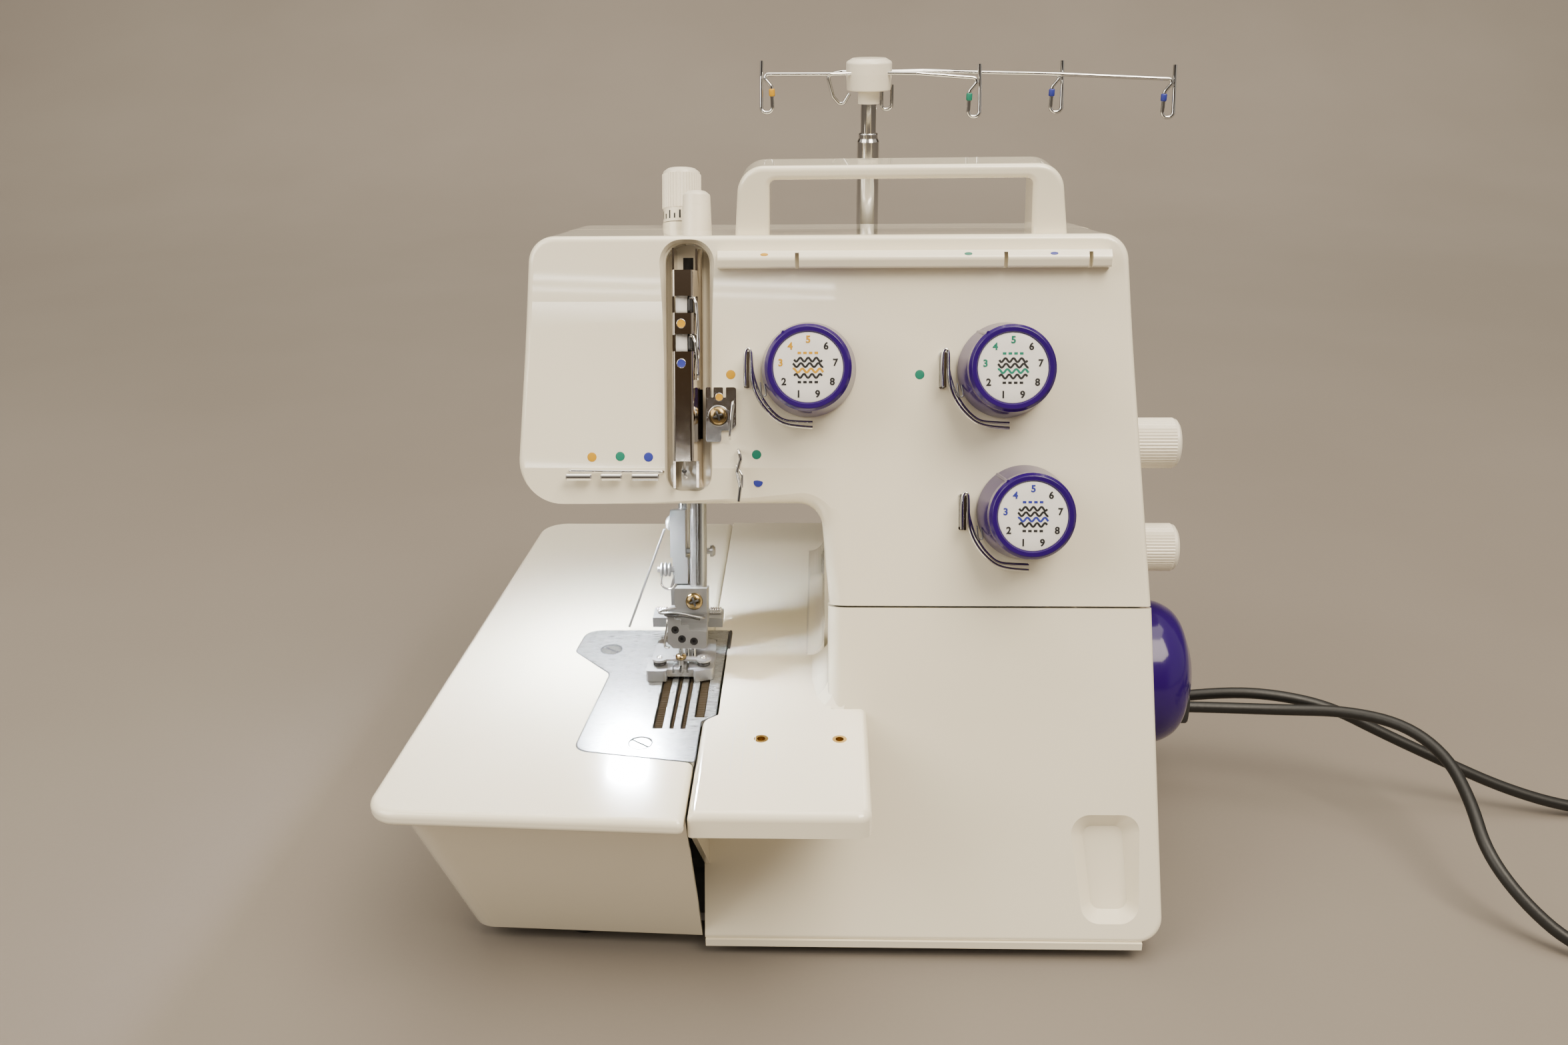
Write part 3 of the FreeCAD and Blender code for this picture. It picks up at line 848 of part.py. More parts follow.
# ---------------------------------------------------------- right side bits
for word, r, x0, x1, y, z, alias in (("stitch", 11.3, 129.2, 155.2, 22.5, 191.7, "stitch_knob_radius"), ("differential", 10.8, 132.8, 156.0, 10.8, 146.1, "diff_knob_radius")):
    pts = []
    for k in range(96):
        a = 2 * math.pi * k / 96
        rr = r if k % 2 == 0 else r - 0.35
        pts.append((rr * math.cos(a), rr * math.sin(a)))
    ribs = pad("%s_ribs" % word, [pts], float(x1 - x0 - 5.6), Placement(V(x0 + 3.0, y, z), SIDE))
    neck = cyl("%s_neck" % word, "Sheet.%s - 1.2" % alias, 3.2, (x0, y, z), (1, 0, 0))
    end = turned("%s_end" % word, [(0, 0), (r - 0.35, 0), (r - 0.6, 1.4, 0.8), (r - 2.2, 2.5), (0, 2.6)], (x1 - 2.6, y, z), (1, 0, 0))
    stem = cyl("%s_stem" % word, "Sheet.knob_stem_radius", 16.5, (x0 - 16, y, z), (1, 0, 0))
    node("%s_knob" % word, fuse("%s_knob_solid" % word, ribs, neck, end, stem))

node("machine_socket", cut("machine_socket_cut", fuse("socket_solid", box("socket_body", (118, 36, 34), (137.8, 61, 56)), box("socket_flange", (137.3, 34, 32), (139.2, 63, 58))),
                           box("socket_hole", (126, 40, 38), (145, 57, 52)),
                           side_pad("socket_trim", [(20, 10), (80, 10), (80, 80), (20, 80)], 139.2, 5.0)))
node("power_switch", side_pad("rocker", [(76.5, 36.0, 1), (89.5, 36.0, 1), (89.5, 56.0, 1), (76.5, 56.0, 1)], 128.5, 11.0))

# ------------------------------------------------------------ thread stand
sx, sy = D("stand_x"), D("stand_y")
tray = plan_pad("tray_plate", [[(-92, 112.6), (128, 112.6), (124, 156, 16), (-88, 156, 16)]], D("tray_z"), "Sheet.tray_thick")
tray_rib = box("tray_rib", (-60, 112.6, 130), (110, 117, 151))
PINS = ((-70, 146), (-22, 146), (60, 146), (107, 146))
pin_holes = [cyl("pin_hole_%d" % i, "Sheet.pin_radius", 12, (x, y, 146)) for i, (x, y) in enumerate(PINS)]
node("spool_stand", cut("spool_stand_cut", fuse("tray_solid", tray, tray_rib), cyl("stand_hole", "Sheet.lower_tube_radius", 12, (sx, sy, 146)), *pin_holes))
pins = []
for i, (x, y) in enumerate(PINS):
    pins.append(fuse("pin_%d" % i, cyl("pin_bar_%d" % i, "Sheet.pin_radius", "Sheet.pin_long", (x, y, 150.5)), cone("pin_tip_%d" % i, "Sheet.pin_radius", 1.2, 3, (x, y, 212.5)),
                     cone("pin_seat_%d" % i, 8.5, 7.0, 3.0, (x, y, 157.0))))
group("spool_pins", *pins)
node("stand_lower_tube", turned("lower_tube", [(3.86, 0), (5.4, 0), (5.4, 161.5), (4.7, 163.0), (4.7, 165.5, 0.6), (3.86, 165.5)], (sx, sy, 150.2), (0, 0, 1)))
node("stand_upper_tube", turned("upper_tube", [(0, 0), (3.8, 0), (3.8, 170), (0, 170)], (sx, sy, 160.0), (0, 0, 1)))
hub_pts = [(3.84, 329.3), (5.1, 329.3), (5.1, 335.4), (10.4, 335.4, 0.6), (10.9, 343, 0), (10.9, 348.3, 1.4), (8.0, 350.0), (0, 350.0), (0, 330.05), (3.84, 330.05)]
hub = turned("hub_solid", [(q[0], q[1] - 329.3) + tuple(q[2:]) for q in hub_pts], (sx, sy, 329.3), (0, 0, 1))
WZ = 343.4


def hook(x, y, z, s):
    """Open wire hook at the end of an arm, its loop on the side s."""
    return [(x, y, z - 1.0), (x + 4.9 * s, y - 0.8, z - 6.6), (x + 5.2 * s, y - 1.0, z - 18.2), (x - 0.2 * s, y - 1.0, z - 18.2), (x, y + 2.1, z - 2.0), (x + 0.3 * s, y + 2.4, min(z + 5.4, 349.6))]


ARMS = [
    [(sx - 5.6, sy - 5.2, WZ), (sx - 18, sy - 8.5, WZ)] + hook(-32.3, 113.5, 344.6, 1),
    [(sx - 5.0, sy + 5.0, WZ), (sx - 12.6, sy + 7.5, WZ), (-1.2, 130.0, 341.9), (1.6, 130.0, 331.9), (5.8, 130.0, 327.2), (9.6, 130.0, 333.2)],
    [(sx + 5.6, sy - 5.2, WZ), (sx + 22, sy - 9.0, WZ)] + hook(70.5, 113.0, 342.0, -1),
    [(sx + 7.0, sy, WZ), (sx + 40, sy, WZ), (sx + 90, sy - 4, 342.2)] + hook(162.6, sy - 4, 340.5, -1),
    [(sx + 5.2, sy + 5.6, WZ), (sx + 26, sy + 10, WZ)] + hook(112.0, 132.0, 342.0, -1),
    [(sx + 0.6, sy + 7.4, WZ), (22.0, 133.2, WZ), (25.2, 133.6, 341.0), (25.2, 133.6, 325.4), (30.1, 133.6, 325.4), (30.1, 133.6, 337.0)],
]
wires = []
for i, path in enumerate(ARMS):
    s, ln, rr = rod(path, 0.9, 2.4)
    wires.append(feature("arm_wire_%d" % i, s))
group("guide_wires", *wires)
node("guide_hub", cut("guide_hub_cut", hub, *wires))

# ---------------------------------------------------------------- lamp
node("lamp_lens", front_pad("lamp", [[(-106, 84.4, 0.4), (-86, 84.4, 0.4), (-86, 85.5), (-106, 85.5)]], 30.5, 44.5, HEAD))

# ------------------------------------------- plug, leads and foot control
node("connector_plug", fuse("connector_solid", fillet("connector_round", box("connector_block", (139.3, 37.5, 36.5), (170, 59.5, 53.5)), 3.0, lambda e: not all(p.x < 139.4 for p in e.discretize(3))),
                            box("connector_tongue", (127, 41, 39), (140, 56, 51)),
                            cone("relief_0", 4.4, 3.2, 10, (170, 43.0, 45.0), (1, 0, 0)), cone("relief_1", 4.4, 3.2, 10, (170, 54.0, 45.0), (1, 0, 0))))

MAINS = [(180.0, 54.0, 45.0), (200.0, 50.5, 49.5), (224.0, 45.0, 51.0), (249.0, 39.5, 47.5), (273.0, 34.0, 36.5), (301.0, 27.5, 25.0), (330.0, 21.0, 13.5), (360.0, 16.5, 5.5), (390.0, 15.0, 2.9), (415.0, 22.0, 2.9), (436.5, 34.5, 2.9)]
PEDAL = [(180.0, 43.0, 45.0), (202.0, 41.0, 45.6), (226.0, 37.0, 47.0), (252.0, 28.5, 51.5), (274.0, 13.0, 53.5), (286.0, -8.0, 49.0), (287.0, -34.0, 41.5), (285.5, -56.0, 31.0), (296.0, -73.0, 17.5), (313.0, -87.0, 5.5), (337.0, -98.0, 2.9), (363.0, -106.0, 2.9), (387.0, -108.3, 2.9)]
for word, path in (("mains", MAINS), ("pedal", PEDAL)):
    s, ln, rr = rod(path, D("cord_diameter") / 2)
    print(word, "lead: tube length %.1f mm, radii" % ln, " ".join("%.0f" % q for q in rr))
    node(word + "_cord", feature(word + "_cord_tube", s))
COILS = {"mains": (470.0, 50.0), "pedal": (424.0, -112.0)}
for word, (x, y) in COILS.items():
    node(word + "_coil", turned(word + "_coil_ring", [(24.0, 0.1), (36.5, 0.1, 4), (39.0, 6, 0), (36.5, 16.0, 4), (24.0, 16.0, 3)], (x, y, 0), (0, 0, 1)))

plug_body = fillet("plug_round", box("plug_block", (440, 93, 0.3), (482, 119, 20.3)), 4.0, lambda e: True)
plug_pins = [cyl("plug_pin_%d" % i, 2.0, 19, (422, y, 10.3), (1, 0, 0)) for i, y in enumerate((100.5, 111.5))]
node("mains_plug", fuse("mains_plug_solid", plug_body, *plug_pins))

px, py = 468.0, -148.0
pl, pw = D("pedal_long"), D("pedal_wide")
shell = side_pad("pedal_shell", [(py, 0.5), (py + pl, 0.5), (py + pl, 34, 10), (py, 16, 5)], px, "Sheet.pedal_wide")
shell_round = fillet("pedal_shell_round", shell, 3.0, lambda e: all(p.z > 5 for p in e.discretize(3)))
well = side_pad("pedal_well", [(py + 12, 8), (py + pl - 14, 8), (py + pl - 14, 60), (py + 12, 60)], px + 8, float(pw - 16))
node("pedal_base", cut("pedal_base_cut", shell_round, well))
tread = side_pad("tread_plate", [(py + 13, 24.5), (py + pl - 15, 43.5, 3), (py + pl - 15, 37.5), (py + 13, 18.5)], px + 9, float(pw - 18))
tread_pin = cyl("tread_pin", 2.5, float(pw - 16.8), (px + 8.4, py + pl - 20, 38.2), (1, 0, 0))
node("pedal_treadle", fuse("pedal_treadle_solid", tread, tread_pin))

# ------------------------------------------------------------- write out
# The origin is the middle of the machine's outline on the floor.
doc.recompute()
for name, o in NODES.items():
    o.Placement = Placement(V(-D("centre_x"), -D("centre_y"), 0), Rotation()).multiply(o.Placement)
doc.recompute()
bad = []
for o in doc.Objects:
    if "Invalid" in o.State or "Error" in o.State:
        bad.append("%s %s" % (o.Name, o.State))
for name, o in NODES.items():
    sh = o.Shape
    if sh.isNull() or not sh.isValid() or not sh.Solids or sh.Volume <= 0:
        bad.append("shape of " + name)
if bad:
    raise RuntimeError("; ".join(bad))
os.makedirs("parts", exist_ok=True)
for name, o in NODES.items():
    o.Shape.exportStep("parts/%s.step" % name)
whole = FreeCAD.BoundBox()
for name, o in NODES.items():
    if not name.startswith(("mains", "pedal_", "connector")):
        whole.add(o.Shape.optimalBoundingBox(False, False))
print("machine box", [round(q, 3) for q in (whole.XMin, whole.XMax, whole.YMin, whole.YMax, whole.ZMin, whole.ZMax)])
print(len(NODES), "nodes written")
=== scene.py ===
import bpy
import bmesh
import json
import math
from mathutils import Matrix, Vector


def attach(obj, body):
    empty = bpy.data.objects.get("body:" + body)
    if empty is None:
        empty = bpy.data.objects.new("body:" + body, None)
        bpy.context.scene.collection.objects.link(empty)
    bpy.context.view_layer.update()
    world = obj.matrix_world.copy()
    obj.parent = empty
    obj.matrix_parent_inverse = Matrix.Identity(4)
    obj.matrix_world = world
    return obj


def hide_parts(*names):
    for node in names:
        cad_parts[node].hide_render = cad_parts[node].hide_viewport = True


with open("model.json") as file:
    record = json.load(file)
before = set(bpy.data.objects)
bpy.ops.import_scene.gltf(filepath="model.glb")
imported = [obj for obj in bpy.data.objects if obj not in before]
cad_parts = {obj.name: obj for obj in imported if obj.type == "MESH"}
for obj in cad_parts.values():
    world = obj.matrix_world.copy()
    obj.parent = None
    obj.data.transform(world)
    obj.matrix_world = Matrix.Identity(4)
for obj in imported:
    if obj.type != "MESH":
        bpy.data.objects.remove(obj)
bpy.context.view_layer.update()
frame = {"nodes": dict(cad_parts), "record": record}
NODE = frame["nodes"]

# Sizes below are in millimetres in the drawing's own axes; this puts them in
# the frame, in metres, with the origin in the middle of the machine's outline.
CX, CY = -3.24, 5.745


def W(x, y, z):
    return Vector(((x - CX) / 1000.0, (y - CY) / 1000.0, z / 1000.0))


LEAN = math.radians(18.0)
CS, SN = math.cos(LEAN), math.sin(LEAN)


def H(x, y, v):
    """A point of the leaning head: x across, y into the head, v up its face."""
    return W(x, -63.0 + y * CS + v * SN, 104.0 - y * SN + v * CS)


HX = Vector((1, 0, 0))
HOUT = Vector((0, -CS, SN))
HUP = Vector((0, SN, CS))

# ---------------------------------------------------------------- camera
cam_data = bpy.data.cameras.new("camera")
cam_data.sensor_fit = "HORIZONTAL"
cam_data.sensor_width = 36.0
cam_data.lens = 2030.0 / 2352.0 * 36.0
cam_data.clip_start = 0.01
cam = bpy.data.objects.new("camera", cam_data)
bpy.context.scene.collection.objects.link(cam)
pitch, yaw, roll = math.radians(22.3), math.radians(1.88), math.radians(-0.645)
fwd = Vector((-math.sin(yaw) * math.cos(pitch), math.cos(yaw) * math.cos(pitch), -math.sin(pitch)))
rgt = Vector((math.cos(yaw), math.sin(yaw), 0.0))
upv = rgt.cross(fwd)
rgt2 = rgt * math.cos(roll) + upv * math.sin(roll)
upv2 = upv * math.cos(roll) - rgt * math.sin(roll)
rot = Matrix((rgt2, upv2, -fwd)).transposed()
cam.matrix_world = Matrix.Translation(W(-2.0, -555.0, 390.0)) @ rot.to_4x4()
bpy.context.scene.camera = cam


# -------------------------------------------------------------- materials
def nodes_of(name):
    m = bpy.data.materials.new(name)
    m.use_nodes = True
    nt = m.node_tree
    return m, nt, nt.nodes["Principled BSDF"]


def surface(name, dark, light, rough, metal=0.0, grain=260.0, bump=0.02, stretch=(1, 1, 1), coat=0.0, spread=0.08, cloud=14.0, ior=None, emission=None):
    """Shader with mottled colour, uneven gloss and a fine relief."""
    m, nt, bsdf = nodes_of(name)
    link = nt.links.new
    coord = nt.nodes.new("ShaderNodeTexCoord")
    mapping = nt.nodes.new("ShaderNodeMapping")
    mapping.inputs["Scale"].default_value = stretch
    link(coord.outputs["Object"], mapping.inputs["Vector"])
    n1 = nt.nodes.new("ShaderNodeTexNoise")
    n1.inputs["Scale"].default_value = cloud
    n1.inputs["Detail"].default_value = 5.0
    link(mapping.outputs["Vector"], n1.inputs["Vector"])
    ramp = nt.nodes.new("ShaderNodeValToRGB")
    ramp.color_ramp.elements[0].position = 0.35
    ramp.color_ramp.elements[1].position = 0.7
    ramp.color_ramp.elements[0].color = (*dark, 1)
    ramp.color_ramp.elements[1].color = (*light, 1)
    link(n1.outputs["Fac"], ramp.inputs["Fac"])
    link(ramp.outputs["Color"], bsdf.inputs["Base Color"])
    n2 = nt.nodes.new("ShaderNodeTexNoise")
    n2.inputs["Scale"].default_value = grain
    n2.inputs["Detail"].default_value = 4.0
    link(mapping.outputs["Vector"], n2.inputs["Vector"])
    rng = nt.nodes.new("ShaderNodeMapRange")
    rng.inputs["To Min"].default_value = max(0.02, rough - spread)
    rng.inputs["To Max"].default_value = rough + spread
    link(n2.outputs["Fac"], rng.inputs["Value"])
    link(rng.outputs["Result"], bsdf.inputs["Roughness"])
    bmp = nt.nodes.new("ShaderNodeBump")
    bmp.inputs["Strength"].default_value = bump
    bmp.inputs["Distance"].default_value = 0.0006
    link(n2.outputs["Fac"], bmp.inputs["Height"])
    link(bmp.outputs["Normal"], bsdf.inputs["Normal"])
    bsdf.inputs["Metallic"].default_value = metal
    if coat:
        bsdf.inputs["Coat Weight"].default_value = coat
        bsdf.inputs["Coat Roughness"].default_value = 0.035
    if ior:
        bsdf.inputs["IOR"].default_value = ior
    if emission:
        bsdf.inputs["Emission Color"].default_value = (*emission[0], 1)
        bsdf.inputs["Emission Strength"].default_value = emission[1]
    return m


M = {
    "white_shell": surface("white_shell", (0.875, 0.815, 0.655), (0.90, 0.845, 0.69), 0.17, grain=70.0, bump=0.006, coat=1.0, spread=0.03),
    "white_knob": surface("white_knob", (0.80, 0.745, 0.625), (0.84, 0.79, 0.675), 0.30, grain=400.0, bump=0.03, coat=0.2),
    "violet": surface("violet", (0.021, 0.0035, 0.105), (0.029, 0.0055, 0.130), 0.16, grain=300.0, bump=0.008, coat=0.2, spread=0.03, ior=1.36),
    "plate_steel": surface("plate_steel", (0.40, 0.415, 0.43), (0.48, 0.495, 0.51), 0.28, metal=0.76, grain=240.0, bump=0.02, stretch=(1.0, 30.0, 8.0), cloud=20.0),
    "chrome": surface("chrome", (0.66, 0.66, 0.66), (0.78, 0.78, 0.78), 0.09, metal=1.0, grain=500.0, bump=0.01, spread=0.04),
    "cast": surface("cast", (0.42, 0.43, 0.44), (0.52, 0.53, 0.54), 0.48, metal=1.0, grain=900.0, bump=0.12),
    "dark_steel": surface("dark_steel", (0.30, 0.30, 0.31), (0.42, 0.42, 0.43), 0.30, metal=1.0, grain=420.0, bump=0.03, stretch=(1, 1, 14)),
    "brass": surface("brass", (0.58, 0.38, 0.11), (0.74, 0.52, 0.18), 0.24, metal=1.0, grain=700.0, bump=0.03),
    "black_rubber": surface("black_rubber", (0.012, 0.012, 0.012), (0.022, 0.022, 0.022), 0.62, grain=900.0, bump=0.10),
    "black_plastic": surface("black_plastic", (0.016, 0.016, 0.017), (0.026, 0.026, 0.028), 0.42, grain=1400.0, bump=0.10),
    "pan_metal": surface("pan_metal", (0.20, 0.20, 0.21), (0.27, 0.27, 0.28), 0.50, grain=700.0, bump=0.08),
    "lens": surface("lens", (0.85, 0.85, 0.82), (0.95, 0.95, 0.93), 0.30, grain=600.0, bump=0.05, emission=((0.94, 0.98, 1.0), 6.0)),
    "cord": surface("cord", (0.006, 0.006, 0.0055), (0.012, 0.0115, 0.011), 0.46, grain=700.0, bump=0.06),
    "ink": surface("ink", (0.010, 0.010, 0.011), (0.016, 0.016, 0.017), 0.45, grain=900.0, bump=0.02),
    "ink_yellow": surface("ink_yellow", (0.53, 0.275, 0.0), (0.58, 0.305, 0.001), 0.45, grain=900.0, bump=0.02),
    "ink_green": surface("ink_green", (0.002, 0.165, 0.105), (0.006, 0.20, 0.13), 0.45, grain=900.0, bump=0.02),
    "ink_blue": surface("ink_blue", (0.022, 0.030, 0.27), (0.030, 0.042, 0.32), 0.45, grain=900.0, bump=0.02),
    "face_white": surface("face_white", (0.76, 0.75, 0.73), (0.80, 0.79, 0.77), 0.30, grain=500.0, bump=0.01, coat=0.2),
    "satin": surface("satin", (0.38, 0.385, 0.39), (0.46, 0.465, 0.47), 0.30, metal=0.78, grain=260.0, bump=0.003, spread=0.03),
    # brown feed-dog steel, made much darker as painted shade for the dogs sitting down in the plate slots
    "feed_steel_painted_shade": surface("feed_steel_painted_shade", (0.10, 0.08, 0.055), (0.16, 0.13, 0.095), 0.50, metal=1.0, grain=700.0, bump=0.06),
    # dark metal of the set screws, also used for dark strips and rings painted as shade in gaps, slots and recesses
    "set_dark_and_painted_shade": surface("set_dark_and_painted_shade", (0.05, 0.05, 0.052), (0.09, 0.09, 0.092), 0.42, metal=1.0, grain=900.0, bump=0.05),
    "gold": surface("gold", (0.21, 0.15, 0.07), (0.31, 0.23, 0.11), 0.20, metal=1.0, grain=800.0, bump=0.006),
    "line_grey": surface("line_grey", (0.66, 0.64, 0.585), (0.70, 0.68, 0.62), 0.30, grain=500.0, bump=0.01),
    "bar_steel": surface("bar_steel", (0.48, 0.49, 0.50), (0.58, 0.59, 0.60), 0.19, metal=0.90, grain=260.0, bump=0.003, spread=0.03),
    # take-up cover chrome: base colour darkened and browned as a painted reflection of the dark surroundings
    "chrome_painted_dark_reflection": surface("chrome_painted_dark_reflection", (0.46, 0.41, 0.355), (0.56, 0.51, 0.45), 0.07, metal=1.0, grain=500.0, bump=0.008, spread=0.03),
    "shadow_gap": surface("shadow_gap", (0.02, 0.02, 0.02), (0.035, 0.034, 0.033), 0.8, grain=500.0, bump=0.05),
}
for part in frame["record"]["subparts"]:
    o = NODE[part["node"]]
    o.data.materials.clear()
    o.data.materials.append(M[{"presser_bracket": "satin", "needle_clamp": "satin", "presser_foot": "satin", "needle_screws": "set_dark_and_painted_shade", "needle_bar": "bar_steel", "presser_bar": "bar_steel",
                               "feed_dog_front": "feed_steel_painted_shade", "feed_dog_rear": "feed_steel_painted_shade", "take_up_cover": "chrome_painted_dark_reflection", "needle_plate_screws": "bar_steel"}.get(part["node"], part["material_slot"])])


def add(name, verts, faces, mat, body, smooth=True, mats=None, index=None):
    me = bpy.data.meshes.new(name)
    me.from_pydata([tuple(v) for v in verts], [], faces)
    me.validate()
    bm = bmesh.new()
    bm.from_mesh(me)
    bmesh.ops.recalc_face_normals(bm, faces=bm.faces)
    bm.to_mesh(me)
    bm.free()
    for p in me.polygons:
        p.use_smooth = smooth
    o = bpy.data.objects.new(name, me)
    bpy.context.scene.collection.objects.link(o)
    for m in (mats or [mat]):
        me.materials.append(M[m])
    if index:
        for p, i in zip(me.polygons, index):
            p.material_index = i
    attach(o, body)
    return o


def lathe(profile, base, ex, ey, ez, n=48):
    """Vertices and faces of a turned shape: (radius, height in mm) about ez."""
    verts, faces = [], []
    for r, h in profile:
        for k in range(n):
            a = 2 * math.pi * k / n
            verts.append(base + (ex * (r * math.cos(a)) + ey * (r * math.sin(a)) + ez * h) / 1000.0)
    for i in range(len(profile) - 1):
        for k in range(n):
            faces.append((i * n + k, i * n + (k + 1) % n, (i + 1) * n + (k + 1) % n, (i + 1) * n + k))
    faces.append(tuple(range(n))[::-1])
    faces.append(tuple((len(profile) - 1) * n + k for k in range(n)))
    return verts, faces


# ------------------------------------------------------------------ cords
def cord_curve(name, route, radius, mat):
    cu = bpy.data.curves.new(name, "CURVE")
    cu.dimensions = "3D"
    sp = cu.splines.new("NURBS")
    sp.points.add(len(route) - 1)
    for p, q in zip(sp.points, route):
        p.co = (q[0], q[1], q[2], 1.0)
    sp.order_u = 3
    sp.use_endpoint_u = True
    sp.resolution_u = 6
    cu.bevel_depth = radius
    cu.bevel_resolution = 5
    cu.use_fill_caps = True
    o = bpy.data.objects.new(name, cu)
    bpy.context.scene.collection.objects.link(o)
    cu.materials.append(M[mat])
    return o


CORD_R = 2.8


def coil_turns(cx, cy, start, count, spin):
    """Points of neat turns, laid in layers beside and on each other."""
    pts = []
    lanes = [(29.2, 2.9), (35.0, 2.9), (32.1, 7.9), (26.8, 7.4), (37.0, 8.2), (29.4, 12.9), (34.8, 13.1), (32.1, 17.9)]
    for t in range(count):
        r, z = lanes[t % len(lanes)]
        for k in range(14):
            a = start + spin * 2 * math.pi * k / 14.0
            f = k / 14.0
            nr, nz = lanes[min(t + 1, count - 1) % len(lanes)]
            b = max(0.0, (f - 0.72) / 0.28)
            pts.append((cx + (r + (nr - r) * b) * math.cos(a), cy + (r + (nr - r) * b) * math.sin(a), z + (nz - z) * b))
    return pts


MAINS = [(180.0, 54.0, 45.0), (200.0, 50.5, 49.5), (224.0, 45.0, 51.0), (249.0, 39.5, 47.5), (273.0, 34.0, 36.5), (301.0, 27.5, 25.0), (330.0, 21.0, 13.5), (360.0, 16.5, 5.5), (390.0, 15.5, 2.9), (415.0, 19.5, 2.9), (436.5, 22.0, 2.9)]
PEDAL = [(180.0, 43.0, 45.0), (202.0, 41.0, 45.6), (226.0, 37.0, 47.0), (252.0, 28.5, 51.5), (274.0, 13.0, 53.5), (286.0, -8.0, 49.0), (287.0, -34.0, 41.5), (285.5, -56.0, 31.0), (296.0, -73.0, 17.5), (313.0, -87.0, 5.5), (337.0, -98.0, 2.9), (363.0, -106.0, 2.9), (387.0, -108.3, 2.9)]
MAINS_COIL = (470.0, 50.0)
PEDAL_COIL = (424.0, -112.0)
mains_pts = MAINS[:-1] + coil_turns(MAINS_COIL[0], MAINS_COIL[1], math.radians(256), 7, 1)
for k in range(5):
    a = math.radians(256 + 23.0 * k)
    mains_pts.append((MAINS_COIL[0] + 34.8 * math.cos(a), MAINS_COIL[1] + 34.8 * math.sin(a), 13.1 - 0.1 * k))
mains_pts += [(505.2, 56.0, 12.2), (505.4, 69.0, 11.4), (505.2, 82.0, 10.8), (502.0, 94.5, 10.4), (493.6, 103.0, 10.3), (484.0, 106.0, 10.3), (480.0, 106.2, 10.3)]
pedal_pts = PEDAL[:-1] + coil_turns(PEDAL_COIL[0], PEDAL_COIL[1], math.radians(200), 5, 1)
pedal_pts += [(404.0, -134.0, 12.6), (428.0, -146.0, 8.0), (450.0, -141.0, 6.0), (462.0, -131.0, 7.0), (469.0, -126.0, 8.0)]


def made(name, pts, body, replaced):
    o = cord_curve(name, [tuple(W(*p)) for p in pts], CORD_R / 1000.0, "cord")
    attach(o, body)
    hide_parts(*replaced)
    # a bare copy of the curve is turned into a mesh and then removed again
    flat = o.copy()
    flat.data = o.data.copy()
    flat.data.bevel_depth = 0.0
    bpy.context.scene.collection.objects.link(flat)
    deps = bpy.context.evaluated_depsgraph_get()
    me = bpy.data.meshes.new_from_object(flat.evaluated_get(deps))
    bpy.data.objects.remove(flat)
    bpy.data.meshes.remove(me)
    return o


mains_cord = made("mains_cord_line", mains_pts, "machine", ["mains_cord", "mains_coil"])
pedal_cord = made("pedal_cord_line", pedal_pts, "machine", ["pedal_cord", "pedal_coil"])


def tie(name, c, a, lo, hi, z0, z1):
    """Flat strap round the bundle of a coil at an angle."""
    er = Vector((math.cos(a), math.sin(a), 0))
    et = Vector((-math.sin(a), math.cos(a), 0))
    ring = []
    n = 28
    for k in range(n):
        t = 2 * math.pi * k / n
        rr = (lo + hi) / 2 + (hi - lo) / 2 * math.copysign(abs(math.cos(t)) ** 0.6, math.cos(t))
        zz = (z0 + z1) / 2 + (z1 - z0) / 2 * math.copysign(abs(math.sin(t)) ** 0.6, math.sin(t))
        ring.append((rr, zz))
    verts, faces = [], []
    for side in (-3.0, 3.0):
        for grow in (0.0, 0.7):
            for rr, zz in ring:
                mr, mz = (lo + hi) / 2, (z0 + z1) / 2
                d = math.hypot(rr - mr, zz - mz)
                s = (d + grow) / d
                p = Vector((c[0], c[1], 0)) + er * (mr + (rr - mr) * s) + et * side
                verts.append(W(p.x, p.y, max(0.2, mz + (zz - mz) * s)))
    for k in range(n):
        q = (k + 1) % n
        a0, a1, b0, b1 = k, k + n, k + 2 * n, k + 3 * n
        c0, c1, d0, d1 = q, q + n, q + 2 * n, q + 3 * n
        faces += [(a0, c0, c1, a1), (b1, d1, d0, b0), (a1, c1, d1, b1), (a0, b0, d0, c0)]
    return add(name, verts, faces, "black_plastic", "machine")


tie_a = tie("mains_tie", MAINS_COIL, math.radians(40), 23.3, 40.2, 0.3, 21.6)
tie_b = tie("pedal_tie", PEDAL_COIL, math.radians(70), 23.3, 40.2, 0.3, 16.6)

# ---------------------------------------------------- tension dial faces
DIALS = ((-8.7, 140.6, "ink_yellow"), (70.8, 140.2, "ink_green"), (79.2, 82.5, "ink_blue"))


def text_mesh(body_text, height):
    cu = bpy.data.curves.new("t", "FONT")
    cu.body = body_text
    cu.size = height * 1.37 / 1000.0
    cu.align_x = "CENTER"
    cu.align_y = "CENTER"
    cu.extrude = 0.00003
    cu.bevel_depth = 0.00015
    cu.bevel_resolution = 0
    o = bpy.data.objects.new("t", cu)
    bpy.context.scene.collection.objects.link(o)
    deps = bpy.context.evaluated_depsgraph_get()
    me = bpy.data.meshes.new_from_object(o.evaluated_get(deps))
    verts = [v.co.copy() for v in me.vertices]
    faces = [tuple(p.vertices) for p in me.polygons]
    bpy.data.objects.remove(o)
    bpy.data.meshes.remove(me)
    bpy.data.curves.remove(cu)
    if verts:
        mx = (max(v.x for v in verts) + min(v.x for v in verts)) / 2
        my = (max(v.y for v in verts) + min(v.y for v in verts)) / 2
        verts = [Vector((v.x - mx, v.y - my, v.z)) for v in verts]
    return verts, faces


DIGITS = {n: text_mesh(str(n), 2.8) for n in range(1, 10)}


